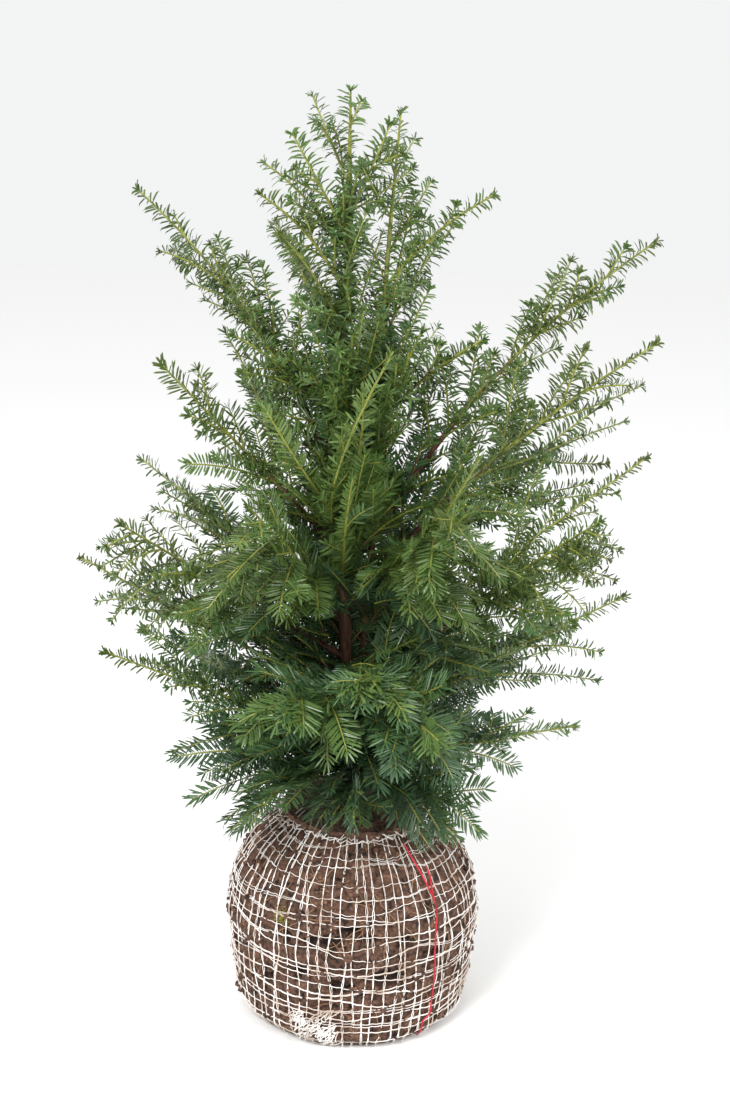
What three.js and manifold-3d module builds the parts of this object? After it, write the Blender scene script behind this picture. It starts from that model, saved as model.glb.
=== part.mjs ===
// An English yew about a metre tall, lifted from the field with its root ball in a net.
// Units are millimetres, +Z is up, and the origin is the middle of the ball's flat underside.
// +X is the plant's right as it is looked at from the front, and +Y is its back.
//
// The plant is a trunk, a second stem from a low fork, main boughs and masses of needles.
// Each mass is one closed solid: a leading shoot with twigs branching from it by a seeded
// rule. Each of them wears a spray, a spindle whose rows of teeth are its needles.

import * as THREE from "three";
import { mergeVertices } from "three/addons/utils/BufferGeometryUtils.js";
import Module from "manifold-3d";

const wasm = await Module();
wasm.setup();

// Driving dimensions

const CLEAR = 0.3; // gap between solids that meet
const FOOT_RADIUS = 108; // flat underside of the root ball
const BALL_RADIUS = 132; // its widest girth
const BALL_GIRTH_HEIGHT = 116;
const BALL_NECK_RADIUS = 70; // where the net is gathered
const BALL_TOP = 226; // flat on which the trunk stands
const TRUNK_TOP = 885; // the leader goes on above this as a mass of needles
const SECOND_STEM_TOP = 820;

const BALL_SIDES = 16; // also the number of upright threads of the net
const THREAD_WIDTH = 2.8; // each thread stands for two or three of the real net
const THREAD_THICKNESS = 1.4;
const LIMB_SIDES = 6;

const CROWN_REACH = 291; // from the plant's axis to its furthest needles
const TOOTH_PITCH = 33; // from tooth to tooth of a spray, each of which stands for many needles
const BRANCHING_ANGLE = 38; // degrees between a twig and the twig that it grows from
const LONGEST_TWIG = 122;

// Helpers

const radians = THREE.MathUtils.degToRad;
const lerp = THREE.MathUtils.lerp;
const clamp = THREE.MathUtils.clamp;
const UP = new THREE.Vector3(0, 0, 1);
const BACK = new THREE.Vector3(0, 1, 0);

// Gives the same run of numbers from 0 to 1 whenever it is given the same seed.
function seededRandom(seed) {
  let state = Math.imul(seed + 1, 747796405) >>> 0;
  return () => {
    state = (Math.imul(state, 1664525) + 1013904223) >>> 0;
    return state / 4294967296;
  };
}

// A closed three.js geometry as a solid that can be joined and cut.
function solidOf(geometry) {
  const bare = geometry.clone();
  bare.deleteAttribute("normal");
  bare.deleteAttribute("uv");
  const merged = mergeVertices(bare, 1e-4);
  return new wasm.Manifold(
    new wasm.Mesh({
      numProp: 3,
      vertProperties: new Float32Array(merged.attributes.position.array),
      triVerts: new Uint32Array(merged.index.array),
    }),
  );
}

// A solid's surface as a geometry for a mesh.
function geometryOf(solid) {
  const surface = solid.getMesh();
  const geometry = new THREE.BufferGeometry();
  geometry.setAttribute("position", new THREE.BufferAttribute(surface.vertProperties, 3));
  geometry.setIndex(new THREE.BufferAttribute(surface.triVerts, 1));
  return geometry;
}

// Cuts a solid clear of its carrier and drops the scraps that come off.
function cutFrom(carrier, solid) {
  const pieces = solid.subtract(carrier).decompose();
  return pieces.reduce((a, b) => (a.volume() > b.volume() ? a : b));
}

// Moves each vertex of a geometry to the place that a function gives for it.
function reshaped(geometry, placeOf) {
  const positions = geometry.attributes.position;
  for (let i = 0; i < positions.count; i += 1) {
    const place = placeOf(new THREE.Vector3().fromBufferAttribute(positions, i));
    positions.setXYZ(i, place.x, place.y, place.z);
  }
  return geometry;
}

// A place beside a curve: t along it, then across and off, with across kept square to the
// curve and as near to the side direction as that allows.
function beside(curve, side, t, across, off) {
  const reached = clamp(t, 0, 1);
  const tangent = curve.getTangent(reached);
  const crossways = side.clone().addScaledVector(tangent, -side.dot(tangent)).normalize();
  const outwards = tangent.clone().cross(crossways);
  return curve
    .getPoint(reached)
    .addScaledVector(tangent, (t - reached) * curve.getLength())
    .addScaledVector(crossways, across)
    .addScaledVector(outwards, off);
}

// A tapering limb of few sides along a curve, closed by flat ends.
function limb(curve, side, radiusAt, sides, steps) {
  const outline = new THREE.Shape(
    Array.from({ length: sides }, (_, k) => {
      const angle = (2 * Math.PI * k) / sides;
      return new THREE.Vector2(Math.cos(angle), Math.sin(angle));
    }),
  );
  const straight = new THREE.ExtrudeGeometry(outline, { depth: 1, steps, bevelEnabled: false });
  return solidOf(
    reshaped(straight, (at) => {
      const radius = radiusAt(at.z);
      return beside(curve, side, at.z, radius * at.x, radius * at.y);
    }),
  );
}

function points(rows) {
  return rows.map((row) => new THREE.Vector3(...row));
}

// The root ball

// Half of the ball's outline, from the edge of its underside to the edge of its top.
function ballProfile() {
  return [
    [FOOT_RADIUS, 0],
    [FOOT_RADIUS + 13, 15],
    [BALL_RADIUS - 5, 60],
    [BALL_RADIUS, BALL_GIRTH_HEIGHT],
    [BALL_RADIUS - 7, 154],
    [BALL_RADIUS - 26, 188],
    [BALL_NECK_RADIUS + 6, 216],
    [BALL_NECK_RADIUS - 30, BALL_TOP],
  ].map(([radius, height]) => new THREE.Vector2(radius, height));
}

const LUMP = 1.1;

// The soil's lumps push the side in and out. The underside and the top stay flat.
function lumpAt(angle, height) {
  const fade = Math.sin((Math.PI * clamp(height, 0, BALL_TOP)) / BALL_TOP);
  const wave = Math.sin(2 * angle + height / 45) + Math.sin(3 * angle - height / 60);
  return LUMP * wave * fade;
}

function rootBall() {
  const outline = [new THREE.Vector2(0, 0), ...ballProfile(), new THREE.Vector2(0, BALL_TOP)];
  const turned = new THREE.LatheGeometry(outline, BALL_SIDES, Math.PI / 2).rotateX(Math.PI / 2);
  return solidOf(
    reshaped(turned, (at) => {
      const radius = Math.hypot(at.x, at.y);
      if (radius < 1) return at;
      const grown = 1 + lumpAt(Math.atan2(at.y, at.x), at.z) / radius;
      return new THREE.Vector3(at.x * grown, at.y * grown, at.z);
    }),
  );
}

// A place on the net, measured by steps of the ball's shape: sector counts its sides round
// from +X, and level its profile's points up from the underside.
const SECTOR = (2 * Math.PI) / BALL_SIDES;
const LEVEL_HEIGHT = 42; // usual way along the side from one level to the next
const NET_LIFT = 5.8 * CLEAR; // leaves CLEAR where the threads bend over the ball's edges

function onBall(sector, level, out) {
  const profile = ballProfile();
  const [corner, height] = [Math.floor(sector), Math.floor(level)];
  const [below, above] = [profile[Math.ceil(level - 1)], profile[Math.floor(level + 1)]];
  const uphill = above.clone().sub(below).normalize();
  const edge = (side) => {
    const [low, high] = [height, height + 1].map((step) => {
      const lump = lumpAt(side * SECTOR, profile[step].y);
      return new THREE.Vector2(profile[step].x + lump, profile[step].y);
    });
    const outwards = new THREE.Vector2(uphill.y, -uphill.x).multiplyScalar(out);
    const place = low.lerp(high, level - height).add(outwards);
    return new THREE.Vector3(
      place.x * Math.cos(side * SECTOR),
      place.x * Math.sin(side * SECTOR),
      place.y,
    );
  };
  return edge(corner).lerp(edge(corner + 1), sector - corner);
}

// The net is a sheet wrapped round the ball: x counts sectors from its lacing at the back,
// and y counts levels. Its hoops sag between the upright threads, which go up a little
// crookedly, from one side of the ball's edges to the other.
const LACING = 4; // sectors round from +X
const SLIT = 0.004; // half of the open slit at the lacing, in sectors
const NET_ROWS = 5;
const CROOKED = 0.05; // sectors
const SAG = 0.15; // levels
const HALF_HIGH = THREAD_WIDTH / 2 / LEVEL_HEIGHT;
const HALF_WIDE = THREAD_WIDTH / 2 / (BALL_RADIUS * SECTOR);

function ballNet() {
  const crossing = (column, row, right, up) => {
    const random = seededRandom(40 * (column % BALL_SIDES) + row);
    const stray = CROOKED * (row % 2 ? 1 : -1) * lerp(0.6, 1, random());
    return new THREE.Vector2(column + stray + right, 1 + row + up * HALF_HIGH);
  };
  const sagging = (column, row, up) => {
    const sag = SAG * lerp(0.8, 1.2, seededRandom(900 + 40 * column + row)());
    return new THREE.Vector2(column + 0.5, 1 + row + up * HALF_HIGH - sag);
  };
  const columns = Array.from({ length: BALL_SIDES }, (_, column) => column);
  const rows = Array.from({ length: NET_ROWS + 1 }, (_, row) => row);
  const rim = (row, up) => [
    crossing(0, row, SLIT, up),
    sagging(0, row, up),
    ...columns.slice(1).flatMap((column) => [crossing(column, row, 0, up), sagging(column, row, up)]),
    crossing(BALL_SIDES, row, -SLIT, up),
  ];
  const sheet = new THREE.Shape([
    ...rim(0, -1),
    ...rows.slice(1, -1).map((row) => crossing(BALL_SIDES, row, -SLIT, 0)),
    ...rim(NET_ROWS, 1).reverse(),
    ...rows.slice(1, -1).reverse().map((row) => crossing(0, row, SLIT, 0)),
  ]);
  for (const column of columns) {
    for (const row of rows.slice(0, -1)) {
      const hole = [
        crossing(column, row, HALF_WIDE, 1),
        crossing(column, row + 1, HALF_WIDE, -1),
        sagging(column, row + 1, -1),
        crossing(column + 1, row + 1, -HALF_WIDE, -1),
        crossing(column + 1, row, -HALF_WIDE, 1),
        sagging(column, row, 1),
      ];
      sheet.holes.push(new THREE.Path(hole));
    }
  }
  const flat = new THREE.ExtrudeGeometry(sheet, { depth: THREAD_THICKNESS, bevelEnabled: false });
  return solidOf(reshaped(flat, (at) => onBall(LACING + at.x, at.y, NET_LIFT + at.z)));
}

// A coloured thread drawn up through the net tells the plant's grade.
function markerThread() {
  const sectors = [-2.1, -2.04, -2.08, -2.04, -2.12, -2.3];
  const steps = sectors.length - 1;
  const lift = NET_LIFT + THREAD_THICKNESS + CLEAR;
  const section = new THREE.Shape([
    new THREE.Vector2(-HALF_WIDE, 0),
    new THREE.Vector2(HALF_WIDE, 0),
    new THREE.Vector2(0, THREAD_THICKNESS),
  ]);
  const straight = new THREE.ExtrudeGeometry(section, { depth: steps, steps, bevelEnabled: false });
  return solidOf(
    reshaped(straight, (at) => {
      const level = Math.round(at.z);
      return onBall(sectors[level] - at.x, level + 1, lift + at.y);
    }),
  );
}

// The stems

const trunkCurve = new THREE.CatmullRomCurve3(
  points([
    [-4, 0, BALL_TOP - 12],
    [-8, 0, 300],
    [-14, -4, 406],
    [-20, -2, 600],
    [-21, 0, 709],
    [-17, 0, 799],
    [-19, 0, TRUNK_TOP],
  ]),
);

const secondStemCurve = new THREE.CatmullRomCurve3(
  points([
    [-6, 0, 262],
    [2, 8, 310],
    [5, 9, 400],
    [13, 4, 536],
    [20, 2, 663],
    [18, 0, 755],
    [21, 0, SECOND_STEM_TOP],
  ]),
);

// An even taper to the leader, over the swell where the roots begin.
function trunkRadius(t) {
  return 8.2 - 6 * t + 6 * Math.exp(-22 * t);
}

function secondStemRadius(t) {
  return 4.8 - 2.8 * t;
}

function trunk(extra) {
  const whole = limb(trunkCurve, BACK, (t) => trunkRadius(t) + extra, LIMB_SIDES, 16);
  const ground = new THREE.BoxGeometry(200, 200, 100);
  ground.translate(0, 0, BALL_TOP + CLEAR - 50);
  return whole.subtract(solidOf(ground));
}

function secondStem(extra) {
  return limb(secondStemCurve, BACK, (t) => secondStemRadius(t) + extra, LIMB_SIDES, 12);
}

const widen = CLEAR / Math.cos(Math.PI / LIMB_SIDES); // moves a limb's flats out by CLEAR
const trunkSolid = trunk(0);
const secondStemSolid = cutFrom(trunk(widen), secondStem(0));
const STEMS = {
  trunk: { curve: trunkCurve, room: trunk(widen) },
  second: { curve: secondStemCurve, room: secondStem(widen) },
};

// The place on a stem at a height.
function stemAt(curve, height) {
  let [low, high] = [0, 1];
  for (let i = 0; i < 30; i += 1) {
    const middle = (low + high) / 2;
    if (curve.getPoint(middle).z < height) low = middle;
    else high = middle;
  }
  return curve.getPoint(low);
}

// The shoots
//
// Each row is a leading shoot: its name, the stem that it grows from and the height where it
// leaves it, then where its tip is, as degrees round the plant from +X towards +Y, reach from
// the plant's axis, and height. arch is how far it bows up over the straight line, as a share
// of its length. bough is the share of the way that is a bare limb, a node of its own. twigs
// is how many twigs branch from the rest, which is the mass of needles.

const SHOOTS = [
  { name: "leader", stem: "trunk", turn: 180, reach: 19, top: 954, twigs: 0 },
  { name: "right_leader", stem: "second", turn: 0, reach: 29, top: 935, twigs: 2 },
  { name: "top_back_left", stem: "trunk", at: 858, turn: 153, reach: 66, top: 947, twigs: 1 },
  { name: "top_front", stem: "trunk", at: 830, turn: -67, reach: 54, top: 925, twigs: 1 },
  { name: "top_left", stem: "trunk", at: 806, turn: 202, reach: 81, top: 914, twigs: 2 },
  { name: "upper_left_1", stem: "trunk", at: 783, turn: 165, reach: 112, top: 881, arch: 0.08 },
  { name: "upper_left_2", stem: "trunk", at: 752, turn: 200, reach: 115, top: 857, arch: 0.08 },
  { name: "upper_left_3", stem: "trunk", at: 716, turn: 226, reach: 120, top: 826, arch: 0.05 },
  { name: "upper_back", stem: "trunk", at: 688, turn: 135, reach: 140, top: 818, arch: 0.05 },
  { name: "middle_left", stem: "trunk", at: 622, turn: 194, reach: 137, top: 723, arch: 0.06, twigs: 3 },
  { name: "front_upright", stem: "trunk", at: 560, turn: 262, reach: 76, top: 735, arch: 0.12, twigs: 3 },
  { name: "upper_right_1", stem: "second", at: 796, turn: 32, reach: 75, top: 868, twigs: 1 },
  { name: "upper_right_2", stem: "second", at: 764, turn: -13, reach: 128, top: 860, arch: 0.06 },
  { name: "upper_right_3", stem: "second", at: 716, turn: 40, reach: 118, top: 822, arch: 0.05 },
  { name: "middle_right_1", stem: "second", at: 540, turn: -48, reach: 84, top: 738, arch: 0.08 },
  { name: "middle_right_2", stem: "second", at: 634, turn: -8, reach: 122, top: 722, arch: 0.05 },
  { name: "left_high", stem: "trunk", at: 548, turn: 170, reach: 236, top: 854, arch: 0.07, bough: 0.36, twigs: 2 },
  { name: "left_shoulder", stem: "trunk", at: 496, turn: 198, reach: 207, top: 701, bough: 0.34, twigs: 1 },
  { name: "left_back", stem: "trunk", at: 424, turn: 160, reach: 252, top: 572, bough: 0.34 },
  { name: "left_front", stem: "trunk", at: 384, turn: 203, reach: 254, top: 552, bough: 0.34 },
  { name: "left_wide", stem: "trunk", at: 336, turn: 181, reach: 289, top: 490, bough: 0.34 },
  { name: "left_low_front", stem: "trunk", at: 290, turn: 196, reach: 268, top: 414 },
  { name: "left_low_back", stem: "trunk", at: 306, turn: 158, reach: 262, top: 380 },
  { name: "right_high", stem: "second", at: 508, turn: 0, reach: 284, top: 819, arch: 0.06, bough: 0.42 },
  { name: "right_shoulder", stem: "second", at: 462, turn: -12, reach: 288, top: 730, arch: 0.04, bough: 0.36 },
  { name: "right_back", stem: "second", at: 420, turn: 22, reach: 280, top: 640, arch: 0.04, bough: 0.34 },
  { name: "right_wide", stem: "second", at: 378, turn: 3, reach: 292, top: 604 },
  { name: "right_front", stem: "second", at: 330, turn: -31, reach: 264, top: 575, arch: 0.03, bough: 0.42 },
  { name: "right_low", stem: "second", at: 312, turn: 2, reach: 279, top: 458 },
  { name: "right_low_back", stem: "second", at: 300, turn: 36, reach: 258, top: 378 },
  { name: "front_left", stem: "trunk", at: 436, turn: 238, reach: 200, top: 592 },
  { name: "front_right", stem: "second", at: 448, turn: -62, reach: 205, top: 600 },
  { name: "front_middle", stem: "trunk", at: 366, turn: 275, reach: 200, top: 428, arch: 0.06, twigs: 5 },
  { name: "front_foot", stem: "trunk", at: 248, turn: 270, reach: 172, top: 274, arch: 0.08, twigs: 6 },
  { name: "front_low_left", stem: "trunk", at: 344, turn: 250, reach: 205, top: 392, arch: 0.1, twigs: 6 },
  { name: "front_low_right", stem: "trunk", at: 312, turn: -68, reach: 212, top: 372, arch: 0.1, twigs: 6 },
  { name: "left_foot", stem: "trunk", at: 268, turn: 184, reach: 195, top: 274, arch: 0.06 },
  { name: "left_foot_front", stem: "trunk", at: 262, turn: 224, reach: 176, top: 238, arch: 0.12, twigs: 6 },
  { name: "right_foot", stem: "trunk", at: 270, turn: -4, reach: 232, top: 322 },
  { name: "right_foot_front", stem: "trunk", at: 258, turn: -44, reach: 178, top: 244, arch: 0.12, twigs: 6 },
  { name: "back_high", stem: "trunk", at: 560, turn: 84, reach: 190, top: 742, arch: 0.05 },
  { name: "back_left", stem: "trunk", at: 470, turn: 124, reach: 235, top: 650, arch: 0.03, bough: 0.34 },
  { name: "back_right", stem: "second", at: 402, turn: 60, reach: 245, top: 566 },
  { name: "back_middle", stem: "trunk", at: 380, turn: 96, reach: 250, top: 470 },
  { name: "back_low", stem: "trunk", at: 276, turn: 98, reach: 215, top: 318 },
];
const LARGE_SHOOT = 180; // longer shoots bear more twigs
const DENSE_BELOW = 740; // height of a tip, below which the crown is shut
const USUAL_TWIGS = { small: 1, large: 3, dense: 4 };
const [TWIGS_FROM, TWIGS_TO] = [0.05, 0.66]; // the stretch of a leading shoot that bears them

const BOUGH_RADIUS = { root: 3.4, tip: 2.5 };
const SPINE = { root: 2.4, tip: 1.2 }; // half the width of the twig inside a spray

// A spray's section has a corner to each hand and a ridge above, and below where it is thick.
// web is how far the needles between two teeth stand out to a hand, tooth how much further a
// tooth does, ridge the height of the ridge, and crest how much higher a tooth of it stands.
const FLAT = [[1, -0.5], [0, 1], [-1, -0.5]];
const ROUND = [[1, 0], [0, 1], [-1, 0], [0, -1]];
const OPEN_SPRAY = { corners: FLAT, web: 7, tooth: 24, ridge: 3.4, crest: 0 };
const DENSE_SPRAY = { corners: ROUND, web: 19, tooth: 29, ridge: 14, crest: 18 };
const DENSE_TWIG = { corners: FLAT, web: 16, tooth: 28, ridge: 9, crest: 0 };
const BREADTH = { middle: 1.4, side: 0.5 }; // of a spray, as shares of its kind's sizes
const TOOTH_LEAN = 0.82; // share of the pitch by which a tooth's point is ahead of its root
const NEEDLES_BEGIN = { onBough: 8, onStem: 20, onTwig: 22 };
const TIP_NEEDLE = 5; // the last needles point on from the twig's tip
const TOOTH_ROOM = 9; // from the end of a tooth to another twig of its mass
const BALL_ROOM = { radius: BALL_RADIUS + 14, middle: 104, height: 138 }; // an egg round the netted ball

// A bow from one place to another, whose middle is raised by a share of its length.
function bow(foot, tip, arch) {
  const chord = tip.clone().sub(foot);
  const raised = chord.clone().cross(UP).normalize().cross(chord);
  const knee = foot.clone().lerp(tip, 0.5).addScaledVector(raised, 2 * arch);
  return new THREE.QuadraticBezierCurve3(foot, knee, tip);
}

// The stretch of a bow between two shares of its way.
function stretch(curve, from, to) {
  const knee = curve.v0
    .clone()
    .multiplyScalar((1 - from) * (1 - to))
    .addScaledVector(curve.v1, from * (1 - to) + to * (1 - from))
    .addScaledVector(curve.v2, from * to);
  return new THREE.QuadraticBezierCurve3(curve.getPoint(from), knee, curve.getPoint(to));
}

// The direction in which the needles of a shoot spread: level, then rolled round the shoot.
function spreadOf(curve, roll) {
  const along = curve.v2.clone().sub(curve.v0).normalize();
  const level = along.clone().cross(UP);
  if (level.length() < 0.1) level.copy(BACK);
  return level.normalize().applyAxisAngle(along, roll);
}

// Grows a twig from a share of a shoot's way, to one hand of it.
function twigFrom(shoot, share, hand, length, random) {
  const foot = shoot.curve.getPoint(share);
  const along = shoot.curve.getTangent(share);
  const angle = radians(BRANCHING_ANGLE + lerp(-8, 8, random()));
  const tilt = radians(lerp(-28, 28, random()));
  const spread = beside(shoot.curve, shoot.side, share, hand * Math.cos(tilt), Math.sin(tilt)).sub(foot);
  const direction = along.clone().multiplyScalar(Math.cos(angle));
  direction.addScaledVector(spread, Math.sin(angle));
  const side = along.clone().cross(spread).cross(direction).normalize();
  const tip = foot.clone().addScaledVector(direction, length);
  return { curve: bow(foot, tip, lerp(-0.05, 0.07, random())), side, twist: lerp(-0.6, 0.6, random()) };
}

// Sprays are broad in the crown's middle and slender at its two sides.
function breadthAt(place) {
  const outward = (Math.abs(place.x) / CROWN_REACH - 0.3) / 0.4;
  return lerp(BREADTH.middle, BREADTH.side, clamp(outward, 0, 1));
}

// A spray of needles along a shoot: a spindle that swells from the bare twig and tapers to
// its tip, with rings of teeth. It turns a little round the shoot on its way. A tooth that
// has no room is half as long, or is left out.
function spray(shoot, kind, start, isFree) {
  const length = shoot.curve.getLength();
  const teeth = Math.max(2, Math.round((length - start) / TOOTH_PITCH));
  const pitch = (length - start) / teeth;
  const rings = [{ along: 0 }, { along: start }];
  for (let i = 0; i < teeth; i += 1) {
    rings.push({ along: start + (i + TOOTH_LEAN) * pitch, full: 1, toothed: 1 });
    rings.push({ along: start + (i + 1) * pitch, full: 1 });
  }
  rings.pop();
  rings.push({ along: length + TIP_NEEDLE });
  const place = (t, across, off) => {
    const turned = shoot.twist * t;
    const [cos, sin] = [Math.cos(turned), Math.sin(turned)];
    return beside(shoot.curve, shoot.side, t, across * cos - off * sin, across * sin + off * cos);
  };
  const outline = new THREE.Shape(kind.corners.map((corner) => new THREE.Vector2(...corner)));
  const steps = rings.length - 1;
  const straight = new THREE.ExtrudeGeometry(outline, { depth: steps, steps, bevelEnabled: false });
  return solidOf(
    reshaped(straight, (at) => {
      const { along, full = 0, toothed = 0 } = rings[Math.round(at.z)];
      const t = along / length;
      const bark = lerp(SPINE.root, SPINE.tip, t);
      const breadth = breadthAt(shoot.curve.getPoint(Math.min(t, 1)));
      const swell = Math.sin(Math.PI * lerp(0.22, 0.88, t)) * breadth;
      const [needles, tooth] = Math.abs(at.x) > 0.5 ? [kind.web, kind.tooth] : [kind.ridge, kind.crest];
      const corner = (part) => {
        const out = bark + part * swell * full * (needles + toothed * tooth);
        return place(t, at.x * out, at.x ? at.y * bark : at.y * out);
      };
      const fitting = [1, 0.6, 0.3].find((part) => isFree(corner(part)) && isFree(corner(part / 2)));
      return corner(fitting ?? 0);
    }),
  );
}

// How far a place is from a curve.
function distanceTo(curve, place) {
  const samples = curve.getPoints(24);
  const nearest = new THREE.Vector3();
  const piece = new THREE.Line3();
  return Math.min(
    ...samples.slice(1).map((end, i) => {
      piece.set(samples[i], end).closestPointToPoint(place, true, nearest);
      return nearest.distanceTo(place);
    }),
  );
}

// Every leading shoot, with its bough where it has one, and the twigs planned on it.
const leaders = SHOOTS.map((row, index) => {
  const random = seededRandom(index);
  const stem = STEMS[row.stem];
  const turn = radians(row.turn);
  const tip = new THREE.Vector3(row.reach * Math.cos(turn), row.reach * Math.sin(turn), row.top);
  const foot = row.at ? stemAt(stem.curve, row.at) : stem.curve.getPoint(1);
  const path = bow(foot, tip, row.arch ?? 0);
  const curve = stretch(path, row.bough ?? 0, 1);
  const onStem = !row.bough && row.at;
  if (!onStem) curve.v0.addScaledVector(curve.getTangent(0), CLEAR);
  const roll = radians(lerp(30, 62, random())) * (random() < 0.5 ? -1 : 1);
  const shoot = { curve, side: spreadOf(curve, roll), twist: lerp(-0.7, 0.7, random()) };
  const isDense = row.top < DENSE_BELOW;
  const size = path.getLength() < LARGE_SHOOT ? "small" : isDense ? "dense" : "large";
  const count = row.twigs ?? USUAL_TWIGS[size];
  const twigs = Array.from({ length: count }, (_, order) => {
    const share = lerp(TWIGS_FROM, TWIGS_TO, (order + 0.4 * random()) / count);
    const hand = order % 2 ? 1 : -1;
    const usual = Math.min(curve.getLength() * lerp(0.7, 0.05, share), LONGEST_TWIG);
    const length = usual * lerp(0.85, 1.1, random());
    const seed = 1000 + 50 * index + order;
    return (part) => twigFrom(shoot, share, hand, length * part, seededRandom(seed));
  });
  const wood = row.bough && stretch(path, 0, row.bough);
  return { name: row.name, stem, onStem, isDense, shoot, wood, twigs };
});

const boughs = leaders
  .filter((leader) => leader.wood)
  .map(({ name, wood, stem }) => {
    const side = spreadOf(wood, 0);
    const taper = (extra) => (t) => lerp(BOUGH_RADIUS.root, BOUGH_RADIUS.tip, t) + extra;
    const [solid, room] = [0, widen].map((extra) => limb(wood, side, taper(extra), LIMB_SIDES, 4));
    return { name, solid: cutFrom(stem.room, solid), room, curve: wood };
  });

const limbRooms = [STEMS.trunk.room, STEMS.second.room, ...boughs.map((bough) => bough.room)];
const limbCurves = [
  { curve: trunkCurve, room: 10 },
  { curve: secondStemCurve, room: 8 },
  ...boughs.map(({ curve }) => ({ curve, room: 6 })),
];

// A place for a tooth's point: within the crown and clear of the netted ball and the limbs.
function isOpen(place) {
  const reach = Math.hypot(place.x, place.y);
  if (reach > CROWN_REACH) return false;
  if (Math.hypot(reach / BALL_ROOM.radius, (place.z - BALL_ROOM.middle) / BALL_ROOM.height) < 1) return false;
  return limbCurves.every(({ curve, room }) => distanceTo(curve, place) > room);
}

function clearOf(shoots, room) {
  return (place) => shoots.every(({ curve }) => distanceTo(curve, place) > room);
}

function hasGap(solid, others) {
  return others.every((other) => solid.minGap(other, 2 * CLEAR) >= CLEAR);
}

// A leading shoot's tooth is left out where it is near a limb or one of its own twigs, or
// nearer to another leading shoot than to its own.
const masses = leaders.map((leader) => {
  const { shoot, stem, onStem } = leader;
  const planned = leader.twigs.map((grow) => grow(1));
  const isFree = (place) => {
    if (!isOpen(place) || !clearOf(planned, TOOTH_ROOM)(place)) return false;
    const own = distanceTo(shoot.curve, place) + 2;
    return leaders.every((other) => other === leader || distanceTo(other.shoot.curve, place) > own);
  };
  const start = onStem ? NEEDLES_BEGIN.onStem : NEEDLES_BEGIN.onBough;
  const whole = spray(shoot, leader.isDense ? DENSE_SPRAY : OPEN_SPRAY, start, isFree);
  return { leader, planned, solid: onStem ? cutFrom(stem.room, whole) : whole };
});

// Twigs are grown in turn, one from each mass, so that the masses share the space evenly.
// One that would touch a limb or another mass is made shorter, and then left out.
const SHORTER = [1, 0.8, 0.6];
const mostTwigs = Math.max(...leaders.map(({ twigs }) => twigs.length));
for (let order = 0; order < mostTwigs; order += 1) {
  for (const mass of masses) {
    const { shoot, twigs, isDense } = mass.leader;
    if (order >= twigs.length) continue;
    const fromTwigs = clearOf(mass.planned.filter((_, i) => i !== order), TOOTH_ROOM);
    const fromLeader = clearOf([shoot], 2 * TOOTH_ROOM);
    const isFree = (place) => isOpen(place) && fromTwigs(place) && fromLeader(place);
    const others = masses.filter((other) => other !== mass).map((other) => other.solid);
    const grown = SHORTER.map((part) => twigs[order](part))
      .filter((twig) => isOpen(twig.curve.v2))
      .map((twig) => spray(twig, isDense ? DENSE_TWIG : OPEN_SPRAY, NEEDLES_BEGIN.onTwig, isFree))
      .find((solid) => hasGap(solid, [...limbRooms, ...others]));
    if (grown) mass.solid = mass.solid.add(grown);
  }
}

// The whole plant

const plant = new THREE.Group();

function addNode(name, solid, color, roughness) {
  const material = new THREE.MeshStandardMaterial({ color, roughness, metalness: 0 });
  const mesh = new THREE.Mesh(geometryOf(solid), material);
  mesh.name = name;
  plant.add(mesh);
}

const GREENS = [0x2f4f22, 0x3b5f28, 0x4a7030];
addNode("root_ball", rootBall(), 0x4b3222, 0.95);
addNode("ball_net", ballNet(), 0xe9e6de, 0.6);
addNode("marker_thread", markerThread(), 0xc41f2e, 0.6);
addNode("trunk", trunkSolid, 0x74452f, 0.85);
addNode("second_stem", secondStemSolid, 0x7c4b33, 0.85);
boughs.forEach(({ name, solid }) => addNode("bough_" + name, solid, 0x6d4530, 0.85));
masses.forEach(({ leader, solid }, i) => {
  addNode("needles_" + leader.name, solid, GREENS[i % GREENS.length], 0.55);
});

export default plant;
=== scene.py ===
# %% [markdown]
# # A yew with its root ball
# This lesson dresses a plain model of a young English yew. The plain model has a trunk, a
# second stem, boughs, masses of needles and a netted root ball. We keep its sizes and give
# each part its real surface: flaking bark, flat sprays of needles, crumbly loam and a
# knitted net.

import math

import bpy
import numpy as np
from mathutils import Matrix, Vector, noise


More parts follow.
